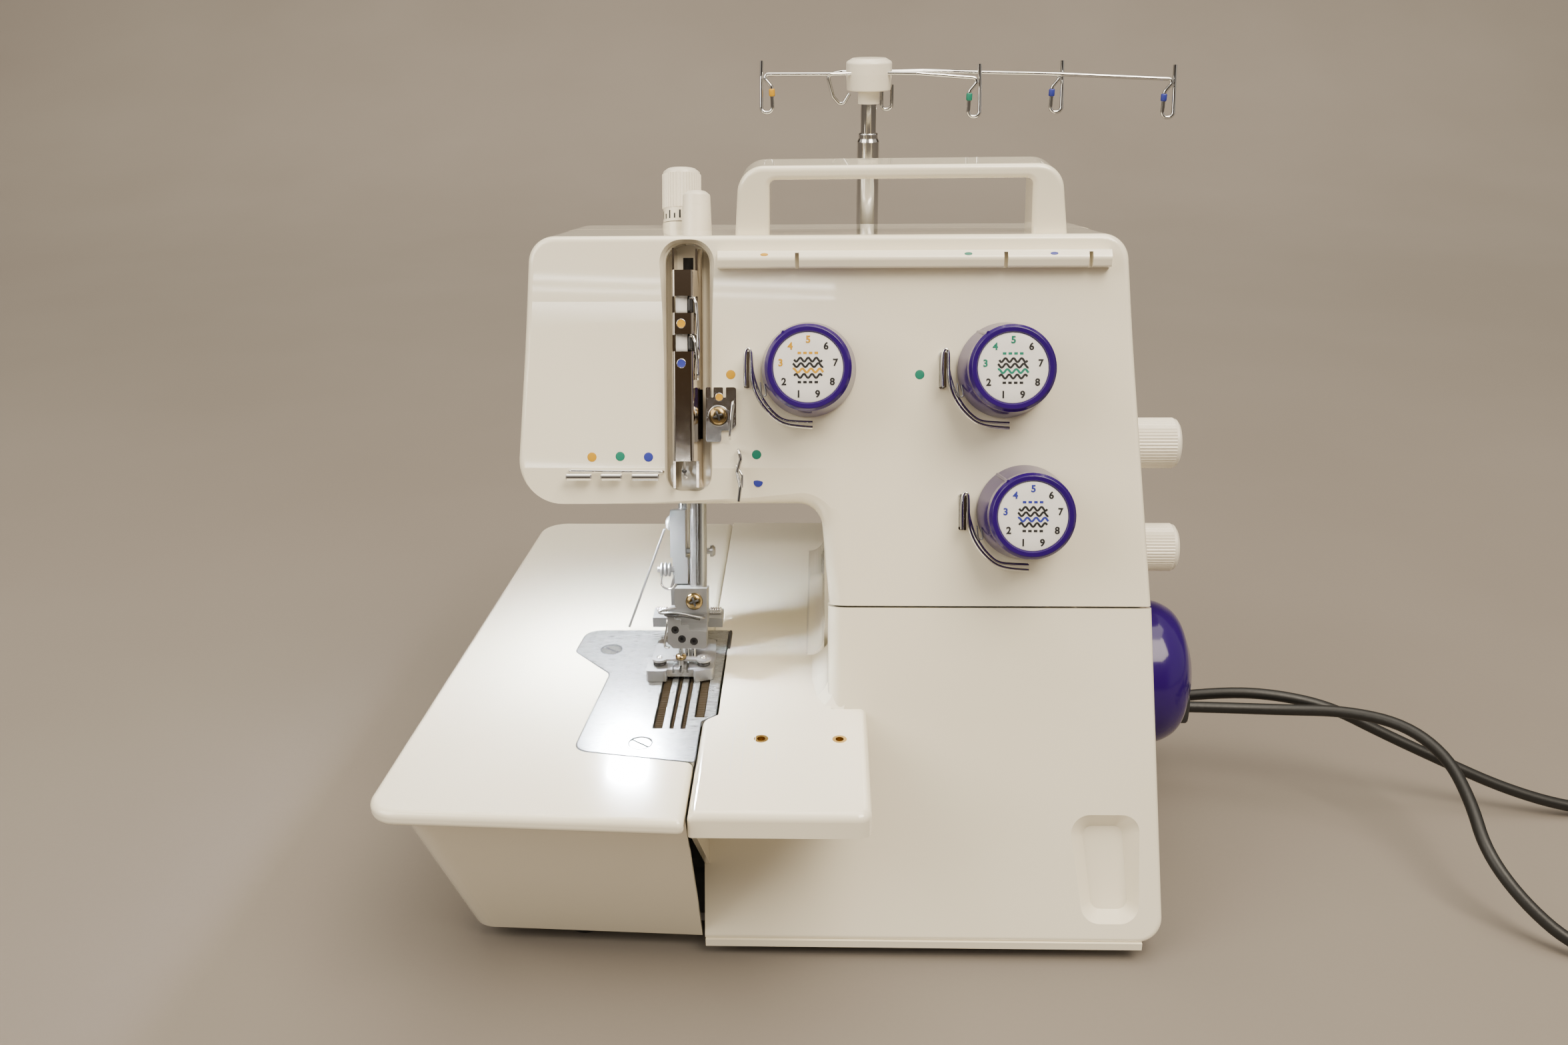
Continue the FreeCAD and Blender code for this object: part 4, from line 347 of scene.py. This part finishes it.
def ribbon(line, width, base, ex, ey, ez, low, high):
    """Strip of even width along points (x, y in mm) of a plane: printed lines, thin parts, and strips painted as shade
    and light.
    """
    verts, faces = [], []
    n = len(line)
    for k, (px, py) in enumerate(line):
        q0, q1 = line[max(0, k - 1)], line[min(n - 1, k + 1)]
        d = math.hypot(q1[0] - q0[0], q1[1] - q0[1]) or 1.0
        nx_, ny_ = -(q1[1] - q0[1]) / d * width / 2, (q1[0] - q0[0]) / d * width / 2
        for sx_, h in ((1, low), (1, high), (-1, high), (-1, low)):
            verts.append(base + (ex * (px + sx_ * nx_) + ey * (py + sx_ * ny_) + ez * h) / 1000.0)
    for k in range(n - 1):
        for c in range(4):
            faces.append((4 * k + c, 4 * k + (c + 1) % 4, 4 * k + 4 + (c + 1) % 4, 4 * k + 4 + c))
    faces.append((0, 3, 2, 1))
    faces.append((4 * n - 4, 4 * n - 3, 4 * n - 2, 4 * n - 1))
    return verts, faces
for i, (x, v, ink) in enumerate(DIALS, 1):
    base = H(x, -26.1, v)
    verts, faces = lathe([(13.70, 0.0), (13.68, 0.16), (13.3, 0.30), (9.0, 0.40), (4.0, 0.44), (0.4, 0.45)], base, HX, HUP, HOUT, 72)
    face = add("dial_%d_face" % i, verts, faces, "face_white", "dial_%d" % i)
    verts, faces, index = [], [], []
    for n in range(1, 10):
        a = math.radians((n - 5) * 40.0)
        cx, cz = 10.9 * math.sin(a), 10.9 * math.cos(a)
        off = len(verts)
        dv, df = DIGITS[n]
        for p in dv:
            verts.append(base + HX * (cx / 1000 + p.x) + HUP * (cz / 1000 + p.y) + HOUT * (0.42 / 1000 + p.z))
        for f in df:
            faces.append(tuple(off + q for q in f))
            index.append(1 if n in (3, 4, 5) else 0)
    # a plain motif of waves with a row of dashes above and below
    lines = []
    for row in range(4):
        y0 = -3.3 + 2.1 * row
        w = 6.2 - 0.5 * abs(row - 1.5)
        lines.append(([(-w + 2 * w * k / 44.0, y0 + 0.75 * math.sin(2 * math.pi * 3.5 * k / 44.0 + row)) for k in range(45)], 0.86, 1 if row == 1 else 0))
    for y0, c in ((5.6, 1), (-5.7, 0)):
        for k in range(4):
            lines.append(([(-4.1 + 2.2 * k, y0), (-3.3 + 2.2 * k, y0), (-2.7 + 2.2 * k, y0)], 0.95, c))
    for line, width, c in lines:
        off = len(verts)
        rv, rf = ribbon(line, width, base, HX, HUP, HOUT, 0.30, 0.50)
        verts += rv
        faces += [tuple(off + q for q in f) for f in rf]
        index += [c] * len(rf)
    add("dial_%d_marks" % i, verts, faces, None, "dial_%d" % i, smooth=False, mats=["ink", ink], index=index)

# ------------------------------------------------------ coloured thread dots
DOTS = [(-98.2, 105.0, "ink_yellow"), (-86.5, 105.3, "ink_green"), (-74.8, 105.0, "ink_blue"), (-40.7, 138.8, "ink_yellow"), (36.5, 138.6, "ink_green"), (43.6, 82.5, "ink_blue"), (-30.2, 106.0, "ink_green"), (-29.6, 94.6, "ink_blue")]
for i, (x, v, ink) in enumerate(DOTS):
    verts, faces = lathe([(1.95, -0.10), (1.95, 0.03), (1.75, 0.07), (0.9, 0.09), (0.2, 0.10)], H(x, 0.8 if v < 100 else 0.0, v), HX, HUP, HOUT, 32)
    add("thread_dot_%d" % i, verts, faces, ink, "machine")

# ------------------------------------------------ small wires, screws, marks
def wire(name, pts, r, mat, body, order=3):
    o = cord_curve(name, [tuple(q) for q in pts], r / 1000.0, mat)
    o.data.splines[0].order_u = order
    o.data.bevel_resolution = 3
    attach(o, body)
    return o


def helix(name, start, along, ex, ey, radius, length, turns, r, mat, body):
    pts = []
    n = int(turns * 14)
    for k in range(n + 1):
        a = 2 * math.pi * turns * k / n
        pts.append(start + (along * (length * k / n) + ex * (radius * math.cos(a)) + ey * (radius * math.sin(a))) / 1000.0)
    return wire(name, pts, r, mat, body)


def pan_head(name, base, ex, ey, ez, r, h, mat, body, spin=0.35):
    """Domed screw head with a dark cross in its top, painted as the shade in its cross recess."""
    verts, faces = lathe([(r, 0.0), (r, 0.45 * h), (r * 0.94, 0.64 * h), (r * 0.70, 0.88 * h), (r * 0.33, 0.985 * h), (0.05, h)], base, ex, ey, ez, 40)
    index = [0] * len(faces)
    # the cross: dark strips painted as the shade in the recess of the screw head
    for k in range(2):
        a = spin + math.pi / 2 * k
        line = [(math.cos(a) * r * 0.56 * t, math.sin(a) * r * 0.56 * t) for t in (-1.0, -0.4, 0.4, 1.0)]
        off = len(verts)
        rv, rf = ribbon(line, r * 0.24, base, ex, ey, ez, 0.5 * h, 1.015 * h)
        verts += rv
        faces += [tuple(off + q for q in f) for f in rf]
        index += [1] * len(rf)
    return add(name, verts, faces, None, body, mats=[mat, "set_dark_and_painted_shade"], index=index)


EX, EY, EZ = Vector((1, 0, 0)), Vector((0, 1, 0)), Vector((0, 0, 1))
pan_head("clamp_screw_cap", H(-59.2, 31.0, 41.1), HX, HUP, HOUT, 3.75, 2.7, "gold", "needle_drive")
pan_head("bracket_screw_cap", H(-45.7, -1.9, 121.9), HX, HUP, HOUT, 3.75, 2.35, "gold", "machine")
pan_head("leaf_screw_cap", W(-64.6, -34.0, 112.5), EX, EY, EZ, 2.45, 1.9, "gold", "presser")
for i, x in enumerate((-73.9, -54.8)):
    verts, faces = lathe([(1.35, 0.0), (1.35, 0.35), (1.1, 0.6), (0.6, 0.62), (0.5, 0.3), (0.05, 0.28)], W(x, -34.0, 112.5), EX, EY, EZ, 28)
    add("leaf_rivet_%d" % i, verts, faces, "chrome", "presser")
    helix("toe_spring_%d" % i, W(x, -34.0, 109.5), EZ, EX, EY, 2.5, 2.2, 3.0, 0.46, "set_dark_and_painted_shade", "presser")
wire("torsion_tail", [H(-75.6, 49.0, 50.5), H(-75.9, 48.4, 48.2), H(-75.6, 48.0, 45.6), H(-73.6, 47.6, 44.3), H(-71.0, 47.2, 44.2), H(-69.0, 46.8, 46.6), H(-68.0, 46.6, 48.6)], 0.55, "chrome", "presser")
wire("needle_thread_guide", [H(-66.5, 32.0, 38.2), H(-70.2, 29.6, 37.9), H(-73.6, 29.0, 37.2), H(-75.0, 28.9, 36.4), H(-73.0, 28.5, 35.8), H(-69.0, 28.4, 36.3), H(-65.9, 28.3, 36.1), H(-60.0, 28.3, 34.9), H(-56.2, 28.5, 34.1), H(-54.6, 30.4, 33.7), H(-55.2, 34.6, 33.5)], 0.5, "dark_steel", "needle_drive")
wire("needle_thread_guide_low", [H(-66.0, 31.2, 35.2), H(-70.4, 29.0, 35.4), H(-72.6, 28.6, 35.2), H(-68.5, 28.0, 34.6), H(-63.5, 28.1, 34.9), H(-58.6, 29.2, 33.6), H(-57.0, 31.2, 33.0)], 0.45, "set_dark_and_painted_shade", "needle_drive")
for i, (xa, sgn) in enumerate(((-78.2, 1), (-49.2, -1))):
    helix("arm_spring_%d" % i, W(xa, -2.4, 120.0), EX * sgn, EY, EZ, 1.35, 5.2, 5.0, 0.36, "chrome", "presser")
    wire("arm_spring_tail_%d" % i, [W(xa, -1.05, 120.0), W(xa - 0.2 * sgn, -1.1, 118.8), W(xa + 0.4 * sgn, -1.2, 117.6)], 0.36, "chrome", "presser")
verts, faces = ribbon([(-71.15, 34.6), (-71.3, 31.0), (-71.9, 27.0), (-72.6, 23.0), (-72.5, 21.0), (-71.6, 20.2), (-70.2, 20.4)], 0.7, H(0, 33.2, 0), HX, HUP, HOUT, 0.0, 3.0)
add("needle_guard", verts, faces, "chrome", "needle_drive")

# dark rings painted as the shade in the countersinks, and dark strips painted as the shade in the slots, of the two
# plate screws
for i, (x, y) in enumerate(((-98.9, -10.6), (-75.6, -90.5))):
    verts, faces = [], []
    n = 56
    for r, z in ((4.45, 103.98), (4.50, 104.24), (4.98, 104.26), (5.08, 104.1)):
        for k in range(n):
            a = 2 * math.pi * k / n
            verts.append(W(x + r * math.cos(a), y + r * math.sin(a), z))
    for c in range(4):
        for k in range(n):
            faces.append((c * n + k, c * n + (k + 1) % n, ((c + 1) % 4) * n + (k + 1) % n, ((c + 1) % 4) * n + k))
    add("plate_screw_rim_painted_shade_%d" % i, verts, faces, "set_dark_and_painted_shade", "machine")
    ca, sa = math.cos(math.radians(-38)), math.sin(math.radians(-38))
    verts, faces = ribbon([(ca * t, sa * t) for t in (-4.2, -1.4, 1.4, 4.2)], 0.98, W(x, y, 103.0), EX, EY, EZ, 0.02, 0.55)
    add("plate_screw_slot_painted_shade_%d" % i, verts, faces, "shadow_gap", "machine", smooth=False)



def rounded(points, steps=8):
    """Closed outline with an arc of its own radius at each corner."""
    out = []
    m = len(points)
    for k, (px, py, r) in enumerate(points):
        p = Vector((px, py))
        u = (Vector(points[k - 1][:2]) - p).normalized()
        w = (Vector(points[(k + 1) % m][:2]) - p).normalized()
        half = math.acos(max(-1.0, min(1.0, u.dot(w)))) / 2.0
        centre = p + (u + w).normalized() * (r / math.sin(half))
        a, b = p + u * (r / math.tan(half)) - centre, p + w * (r / math.tan(half)) - centre
        for t in range(steps + 1):
            f = t / steps
            out.append(centre + (a * (1 - f) + b * f).normalized() * r)
    return out


# dark line painted as the shade in the gap where the plate meets the table
line = rounded([(-112.5, 8.3, 7), (-114.6, -12.8, 5), (-95.9, -33.2, 5), (-101.2, -95.8, 6), (-53.0, -104.2, 1), (-53.0, -73.5, 1.5), (-47.4, -68.5, 1.5), (-46.7, 8.7, 1.5)])
verts, faces = [], []
m = len(line)
for k, q in enumerate(line):
    d = (line[(k + 1) % m] - line[k - 1]).normalized()
    o = Vector((d.y, -d.x))
    if (line[0] - Vector((-75.0, -45.0))).dot(Vector(((line[1] - line[-1]).y, -(line[1] - line[-1]).x))) < 0:
        o = -o
    for off, z in ((0.02, 104.03), (0.02, 104.16), (0.30, 104.10), (0.38, 104.03)):
        verts.append(W(q.x + o.x * off, q.y + o.y * off, z))
for k in range(m):
    for c in range(4):
        a0, b0 = 4 * k, 4 * ((k + 1) % m)
        faces.append((a0 + c, a0 + (c + 1) % 4, b0 + (c + 1) % 4, b0 + c))
add("plate_gap_painted_shade", verts, faces, "set_dark_and_painted_shade", "machine")

# pale lip of the bed under the joint with the sliding table
verts, faces = [], []
lip = [(-53.25, 103.1), (-53.25, 103.66), (-53.1, 103.78), (-52.72, 103.8), (-52.72, 103.1)]
for y in (10.2, 10.6, 60.0, 140.2, 140.6):
    for x, z in lip:
        verts.append(W(x, y, z))
n = len(lip)
for k in range(4):
    for c in range(n):
        faces.append((k * n + c, k * n + (c + 1) % n, (k + 1) * n + (c + 1) % n, (k + 1) * n + c))
faces += [tuple(range(n))[::-1], tuple(4 * n + c for c in range(n))]
add("bed_joint_lip", verts, faces, "white_shell", "machine")

# thread holders of the arm: curled springs, dots and the little hook below
for i, line in enumerate(([(-57.0, 169.9), (-55.2, 169.6), (-54.3, 167.4), (-53.8, 160.0), (-53.4, 150.0), (-53.5, 145.2)], [(-57.0, 154.4), (-55.6, 154.0), (-54.6, 151.4), (-54.0, 145.0), (-53.7, 139.0), (-53.9, 136.4)])):
    verts, faces = ribbon(line, 1.25, H(0, -5.0, 0), HX, HUP, HOUT, -0.2, 0.2)
    add("take_up_spring_%d" % i, verts, faces, "chrome", "machine")
# pale strips painted as the lit groove floor seen through the take-up gap, dark strips painted as the shade beside it
for i, (z0, z1) in enumerate(((163.4, 170.2), (147.9, 154.9))):
    for j, (x0, w, m) in enumerate(((-60.2, 4.6, "face_white"), (-56.6, 2.4, "set_dark_and_painted_shade"))):
        verts, faces = ribbon([(x0, z0 - 0.3), (x0 - 0.1, z0 + 1.5), (x0 - 0.1, z1 - 1.5), (x0, z1 + 0.3)], w, H(0, -4.6, 0), HX, HUP, HOUT, -0.25, 0.25)
        add("take_up_strip_%d_%d" % (i, j), verts, faces, m, "machine")
wire("take_up_hook", [H(-59.2, -6.3, 104.6), H(-59.3, -5.4, 102.2), H(-59.5, -5.0, 99.8), H(-59.2, -4.8, 97.4), H(-58.6, -5.2, 96.4), H(-58.4, -5.8, 97.4)], 0.5, "chrome", "machine")
verts, faces = lathe([(0.25, 0.0), (0.85, 0.35), (1.05, 0.9), (0.85, 1.5), (0.25, 1.8)], H(-59.45, -5.0, 98.5), HX, HOUT, HUP, 20)
add("take_up_bead", verts, faces, "set_dark_and_painted_shade", "machine")
# dark strip painted as the shade inside the slot in the groove floor
verts, faces = ribbon([(-58.6, 179.5), (-58.6, 182.0), (-58.6, 184.5), (-58.6, 187.0)], 4.2, H(0, 7.45, 0), HX, HUP, HOUT, -0.1, 0.02)
add("groove_slot_painted_shade", verts, faces, "shadow_gap", "machine")


def dot(name, base, ex, ey, ez, r, mat, body):
    """Painted spot with a fine rim."""
    verts, faces = lathe([(1.12, -0.05), (1.12, 0.05), (1.0, 0.10), (0.96, 0.07), (0.5, 0.075), (0.1, 0.08)], base, ex * r, ey * r, ez, 32)
    return add(name, verts, faces, None, body, mats=["chrome", mat], index=[0 if (f[0] // 32) < 2 else 1 for f in faces[:-2]] + [0, 1])


dot("take_up_dot_0", H(-60.2, -7.02, 159.1), HX, HUP, HOUT, 1.7, "ink_yellow", "machine")
dot("take_up_dot_1", H(-60.2, -7.02, 143.1), HX, HUP, HOUT, 1.7, "ink_blue", "machine")
dot("bracket_dot", H(-45.4, -1.32, 129.6), HX, HUP, HOUT, 1.5, "ink_yellow", "machine")
RN = (HOUT * 0.909 + HUP * 0.416).normalized()
RU = (HUP * 0.909 - HOUT * 0.416).normalized()
for i, (x, ink) in enumerate(((-26.5, "ink_yellow"), (55.0, "ink_green"), (89.1, "ink_blue"))):
    verts, faces = lathe([(1.0, -0.10), (1.0, 0.02), (0.8, 0.05), (0.1, 0.06)], H(x, -8.42, 186.25), HX * 1.6, RU * 0.7, RN, 28)
    add("rail_mark_%d" % i, verts, faces, ink, "machine")

# coloured sleeves on the thread hooks
SLEEVES = [((-27.4, 112.7, 338.0), (-27.1, 112.5, 326.4), "ink_yellow"), ((65.6, 112.2, 335.4), (65.3, 112.0, 323.8), "ink_green"),
           ((107.1, 131.2, 335.4), (106.8, 131.0, 323.8), "ink_blue"), ((157.7, 117.2, 333.9), (157.4, 117.0, 322.3), "ink_blue")]
for i, (a, b, ink) in enumerate(SLEEVES):
    a, b = W(*a), W(*b)
    d = (b - a).normalized()
    ex = d.cross(EY).normalized()
    ey = d.cross(ex).normalized()
    verts, faces = lathe([(0.92, 0.0), (1.3, 0.15), (1.42, 0.55), (1.42, 2.9), (1.3, 3.3), (0.92, 3.45)], a + d * 0.0008, ex, ey, d, 24)
    add("hook_sleeve_%d" % i, verts, faces, ink, "guide_arm")

# small return springs beside the dials, plain ticks on the pressure knob
for i, (x, v, ink) in enumerate(DIALS, 1):
    wire("check_spring_%d" % i, [H(x - 19.6, -6.4, v - 5.2), H(x - 19.4, -6.6, v - 7.8), H(x - 19.1, -6.6, v - 10.4), H(x - 18.1, -6.6, v - 10.9), H(x - 17.1, -6.6, v - 10.4), H(x - 17.5, -6.6, v - 8.2), H(x - 17.9, -6.4, v - 6.0)], 0.32, "dark_steel", "machine")
for i, (x, v, ink) in enumerate(DIALS, 1):
    wire("tension_loop_%d" % i, [H(x - 25.7, -7.3, v - 6.6), H(x - 25.8, -7.5, v - 2.0), H(x - 25.8, -7.6, v + 4.0), H(x - 25.5, -7.6, v + 7.4), H(x - 24.4, -7.6, v + 8.6), H(x - 23.3, -7.6, v + 7.4),
                                 H(x - 23.2, -7.4, v + 2.0), H(x - 23.2, -7.2, v - 3.0), H(x - 22.2, -7.0, v - 8.2), H(x - 19.4, -6.8, v - 13.8), H(x - 15.4, -6.6, v - 18.4), H(x - 11.0, -6.4, v - 21.8), H(x - 4.5, -6.2, v - 23.1), H(x + 1.6, -6.0, v - 23.4)], 0.66, "chrome", "machine")
verts, faces = [], []
for k in range(-4, 5):
    a0 = math.radians(-90 + 17.0 * k)
    tall = 3.6 if k % 2 == 0 else 2.2
    off = len(verts)
    for j in range(5):
        a = a0 + math.radians(2.6) * (j - 2) / 2.0
        for rr in (8.24, 8.36):
            for h in (1.2, 1.2 + tall):
                verts.append(H(-66.3, 57.0, 208.3) + (HX * (rr * math.cos(a)) - HOUT * (rr * math.sin(a)) + HUP * h) / 1000.0)
    for j in range(4):
        q = off + 4 * j
        faces += [(q + 2, q + 3, q + 7, q + 6), (q, q + 4, q + 5, q + 1), (q + 1, q + 5, q + 7, q + 3), (q, q + 2, q + 6, q + 4)]
    q = off + 16
    faces += [(off, off + 1, off + 3, off + 2), (q, q + 2, q + 3, q + 1)]
add("pressure_ticks", verts, faces, "ink", "pressure_control", smooth=False)

# rounded collar on the plug, behind the wheel
verts, faces = [], []
n = 40
for x, f in ((170.2, 0.90), (171.0, 0.98), (172.2, 1.0), (178.4, 1.0), (179.3, 0.95), (179.7, 0.86)):
    for k in range(n):
        a = 2 * math.pi * k / n
        cy = math.copysign(abs(math.cos(a)) ** 0.45, math.cos(a)) * 10.6 * f
        cz = math.copysign(abs(math.sin(a)) ** 0.45, math.sin(a)) * 8.6 * f
        verts.append(W(x, 48.5 + cy, 45.0 + cz))
for i in range(5):
    for k in range(n):
        faces.append((i * n + k, i * n + (k + 1) % n, (i + 1) * n + (k + 1) % n, (i + 1) * n + k))
faces += [tuple(range(n))[::-1], tuple(5 * n + k for k in range(n))]
add("plug_collar", verts, faces, "black_plastic", "machine")

# soft sweep where the bed meets the column
verts, faces = [], []
sweep = [(-10.5 + 8.0 * math.sin(math.radians(9.0 * k)), 112.3 - 8.0 * math.cos(math.radians(9.0 * k))) for k in range(11)] + [(-2.35, 112.4), (-2.35, 104.25)]
for y in (-15.2, -14.0, -6.0, 20.0, 60.0, 102.0):
    for x, z in sweep:
        verts.append(W(x, y, z))
n = len(sweep)
for k in range(5):
    for c in range(n):
        faces.append((k * n + c, k * n + (c + 1) % n, (k + 1) * n + (c + 1) % n, (k + 1) * n + c))
faces += [tuple(range(n))[::-1], tuple(5 * n + c for c in range(n))]
add("bed_sweep", verts, faces, "white_shell", "machine")

# thin guide lines on the small table, soft stop beside the plate
verts, faces = [], []
for k, (x, y0, y1) in enumerate(((-38.6, -113.0, -74.0), (-34.2, -113.0, -74.0), (-29.8, -108.0, -78.0), (-25.4, -104.0, -92.0), (-21.0, -104.0, -92.0))):
    off = len(verts)
    rv, rf = ribbon([(x, y0), (x, (2 * y0 + y1) / 3), (x, (y0 + 2 * y1) / 3), (x, y1)], 0.30, W(0, 0, 104.2), EX, EY, EZ, -0.05, 0.03)
    verts += rv
    faces += [tuple(off + q for q in f) for f in rf]
add("guide_lines", verts, faces, "line_grey", "cover", smooth=False)
prof = [(-46.4, 103.6), (-46.4, 105.0), (-46.1, 105.5), (-45.5, 105.6), (-45.0, 105.2), (-44.8, 103.6)]
verts, faces = [], []
ys = [-9.6, -9.3, -8.6, 5.8, 6.6, 6.9]
sc = [0.82, 0.94, 1.0, 1.0, 0.94, 0.82]
for y, f in zip(ys, sc):
    for x, z in prof:
        verts.append(W(-45.6 + (x + 45.6) * f, y, 103.6 + (z - 103.6) * f))
n = len(prof)
for k in range(len(ys) - 1):
    for c in range(n):
        faces.append((k * n + c, k * n + (c + 1) % n, (k + 1) * n + (c + 1) % n, (k + 1) * n + c))
faces += [tuple(range(n))[::-1], tuple((len(ys) - 1) * n + c for c in range(n))]
add("plate_stop", verts, faces, "black_plastic", "machine")

# --------------------------------------------------------------- the stage
floor_mat = surface("floor_cloth", (0.188, 0.163, 0.137), (0.202, 0.177, 0.150), 0.85, grain=500.0, bump=0.03, cloud=3.0)
verts, faces = [], []
PROFILE = []
for k in range(0, 32):
    PROFILE.append((-14.0 + k * 0.5, 0.0))
for k in range(1, 17):
    a = math.radians(90.0 * k / 16)
    PROFILE.append((1.5 + 1.8 * math.sin(a), 1.8 - 1.8 * math.cos(a)))
for k in range(1, 6):
    PROFILE.append((3.3, 1.8 + 0.4 * k))
nx = 24
for y, z in PROFILE:
    for k in range(nx + 1):
        verts.append((-9.0 + 18.0 * k / nx, y, z - 0.0001))
for i in range(len(PROFILE) - 1):
    for k in range(nx):
        a = i * (nx + 1) + k
        faces.append((a, a + 1, a + nx + 2, a + nx + 1))
me = bpy.data.meshes.new("backdrop")
me.from_pydata(verts, [], faces)
for p in me.polygons:
    p.use_smooth = True
back = bpy.data.objects.new("backdrop", me)
bpy.context.scene.collection.objects.link(back)
me.materials.append(floor_mat)


def area(name, pos, target, size, power, colour, size_y=None):
    ld = bpy.data.lights.new(name, "AREA")
    ld.energy = power
    ld.color = colour
    ld.size = size
    if size_y:
        ld.shape = "RECTANGLE"
        ld.size_y = size_y
    o = bpy.data.objects.new(name, ld)
    bpy.context.scene.collection.objects.link(o)
    o.visible_camera = False
    d = Vector(target) - Vector(pos)
    o.matrix_world = Matrix.Translation(Vector(pos)) @ d.to_track_quat("-Z", "Y").to_matrix().to_4x4()
    return o


area("key", (0.75, -0.95, 1.85), (0.0, 0.0, 0.15), 1.1, 57.0, (1.0, 0.885, 0.715))
area("fill", (-1.35, -0.85, 1.25), (-0.05, 0.0, 0.15), 1.3, 27.0, (1.0, 0.92, 0.785))
area("top", (0.1, 0.15, 1.95), (0.0, 0.0, 0.1), 1.5, 30.0, (1.0, 0.91, 0.765))
for k, (tz, th, tp) in enumerate(((0.985, 0.006, 0.5), (1.015, 0.010, 0.8))):
    area("tube_%d" % k, (-0.46, -2.9, tz), (-0.03, 0.0, 0.25), 0.98, tp, (1.0, 0.97, 0.92), th)
lamp = area("lamp", tuple(H(-96, 37, 83.6)), tuple(H(-98, 37, 20)), 0.018, 0.66, (0.88, 0.95, 1.0), 0.012)
wash = area("wash", (0.0, 2.3, 2.4), (0.0, 2.3, 0.0), 4.2, 30.0, (1.0, 0.91, 0.765), 1.2)
wash.data.spread = math.radians(80)
world = bpy.data.worlds.new("world")
bpy.context.scene.world = world
world.use_nodes = True
wt = world.node_tree
bg = wt.nodes["Background"]
wc = wt.nodes.new("ShaderNodeTexCoord")
sep = wt.nodes.new("ShaderNodeSeparateXYZ")
wt.links.new(wc.outputs["Generated"], sep.inputs["Vector"])
sky = wt.nodes.new("ShaderNodeValToRGB")
sky.color_ramp.elements[0].position = 0.60
sky.color_ramp.elements[0].color = (0.020, 0.014, 0.010, 1)
sky.color_ramp.elements[1].position = 0.96
sky.color_ramp.elements[1].color = (1.0, 0.93, 0.82, 1)
mid = sky.color_ramp.elements.new(0.68)
mid.color = (0.11, 0.068, 0.036, 1)
mid2 = sky.color_ramp.elements.new(0.80)
mid2.color = (0.42, 0.37, 0.31, 1)
rise = wt.nodes.new("ShaderNodeMapRange")
rise.inputs["From Min"].default_value = -1.0
rise.inputs["From Max"].default_value = 1.0
wt.links.new(sep.outputs["Z"], rise.inputs["Value"])
wt.links.new(rise.outputs["Result"], sky.inputs["Fac"])
side = wt.nodes.new("ShaderNodeMath")
side.operation = "ABSOLUTE"
wt.links.new(sep.outputs["X"], side.inputs[0])
band = wt.nodes.new("ShaderNodeMapRange")
band.interpolation_type = "SMOOTHSTEP"
band.inputs["From Min"].default_value = 0.38
band.inputs["From Max"].default_value = 0.80
wt.links.new(side.outputs["Value"], band.inputs["Value"])
both = wt.nodes.new("ShaderNodeMix")
both.data_type = "RGBA"
both.blend_type = "MIX"
for sock in both.inputs:
    if sock.name == "A" and sock.type == "RGBA":
        wt.links.new(sky.outputs["Color"], sock)
    if sock.name == "B" and sock.type == "RGBA":
        sock.default_value = (0.60, 0.545, 0.47, 1)
    if sock.name == "Factor" and sock.type == "VALUE":
        wt.links.new(band.outputs["Result"], sock)
for sock in both.outputs:
    if sock.type == "RGBA":
        wt.links.new(sock, bg.inputs["Color"])
bg.inputs["Strength"].default_value = 0.85

bpy.context.view_layer.update()
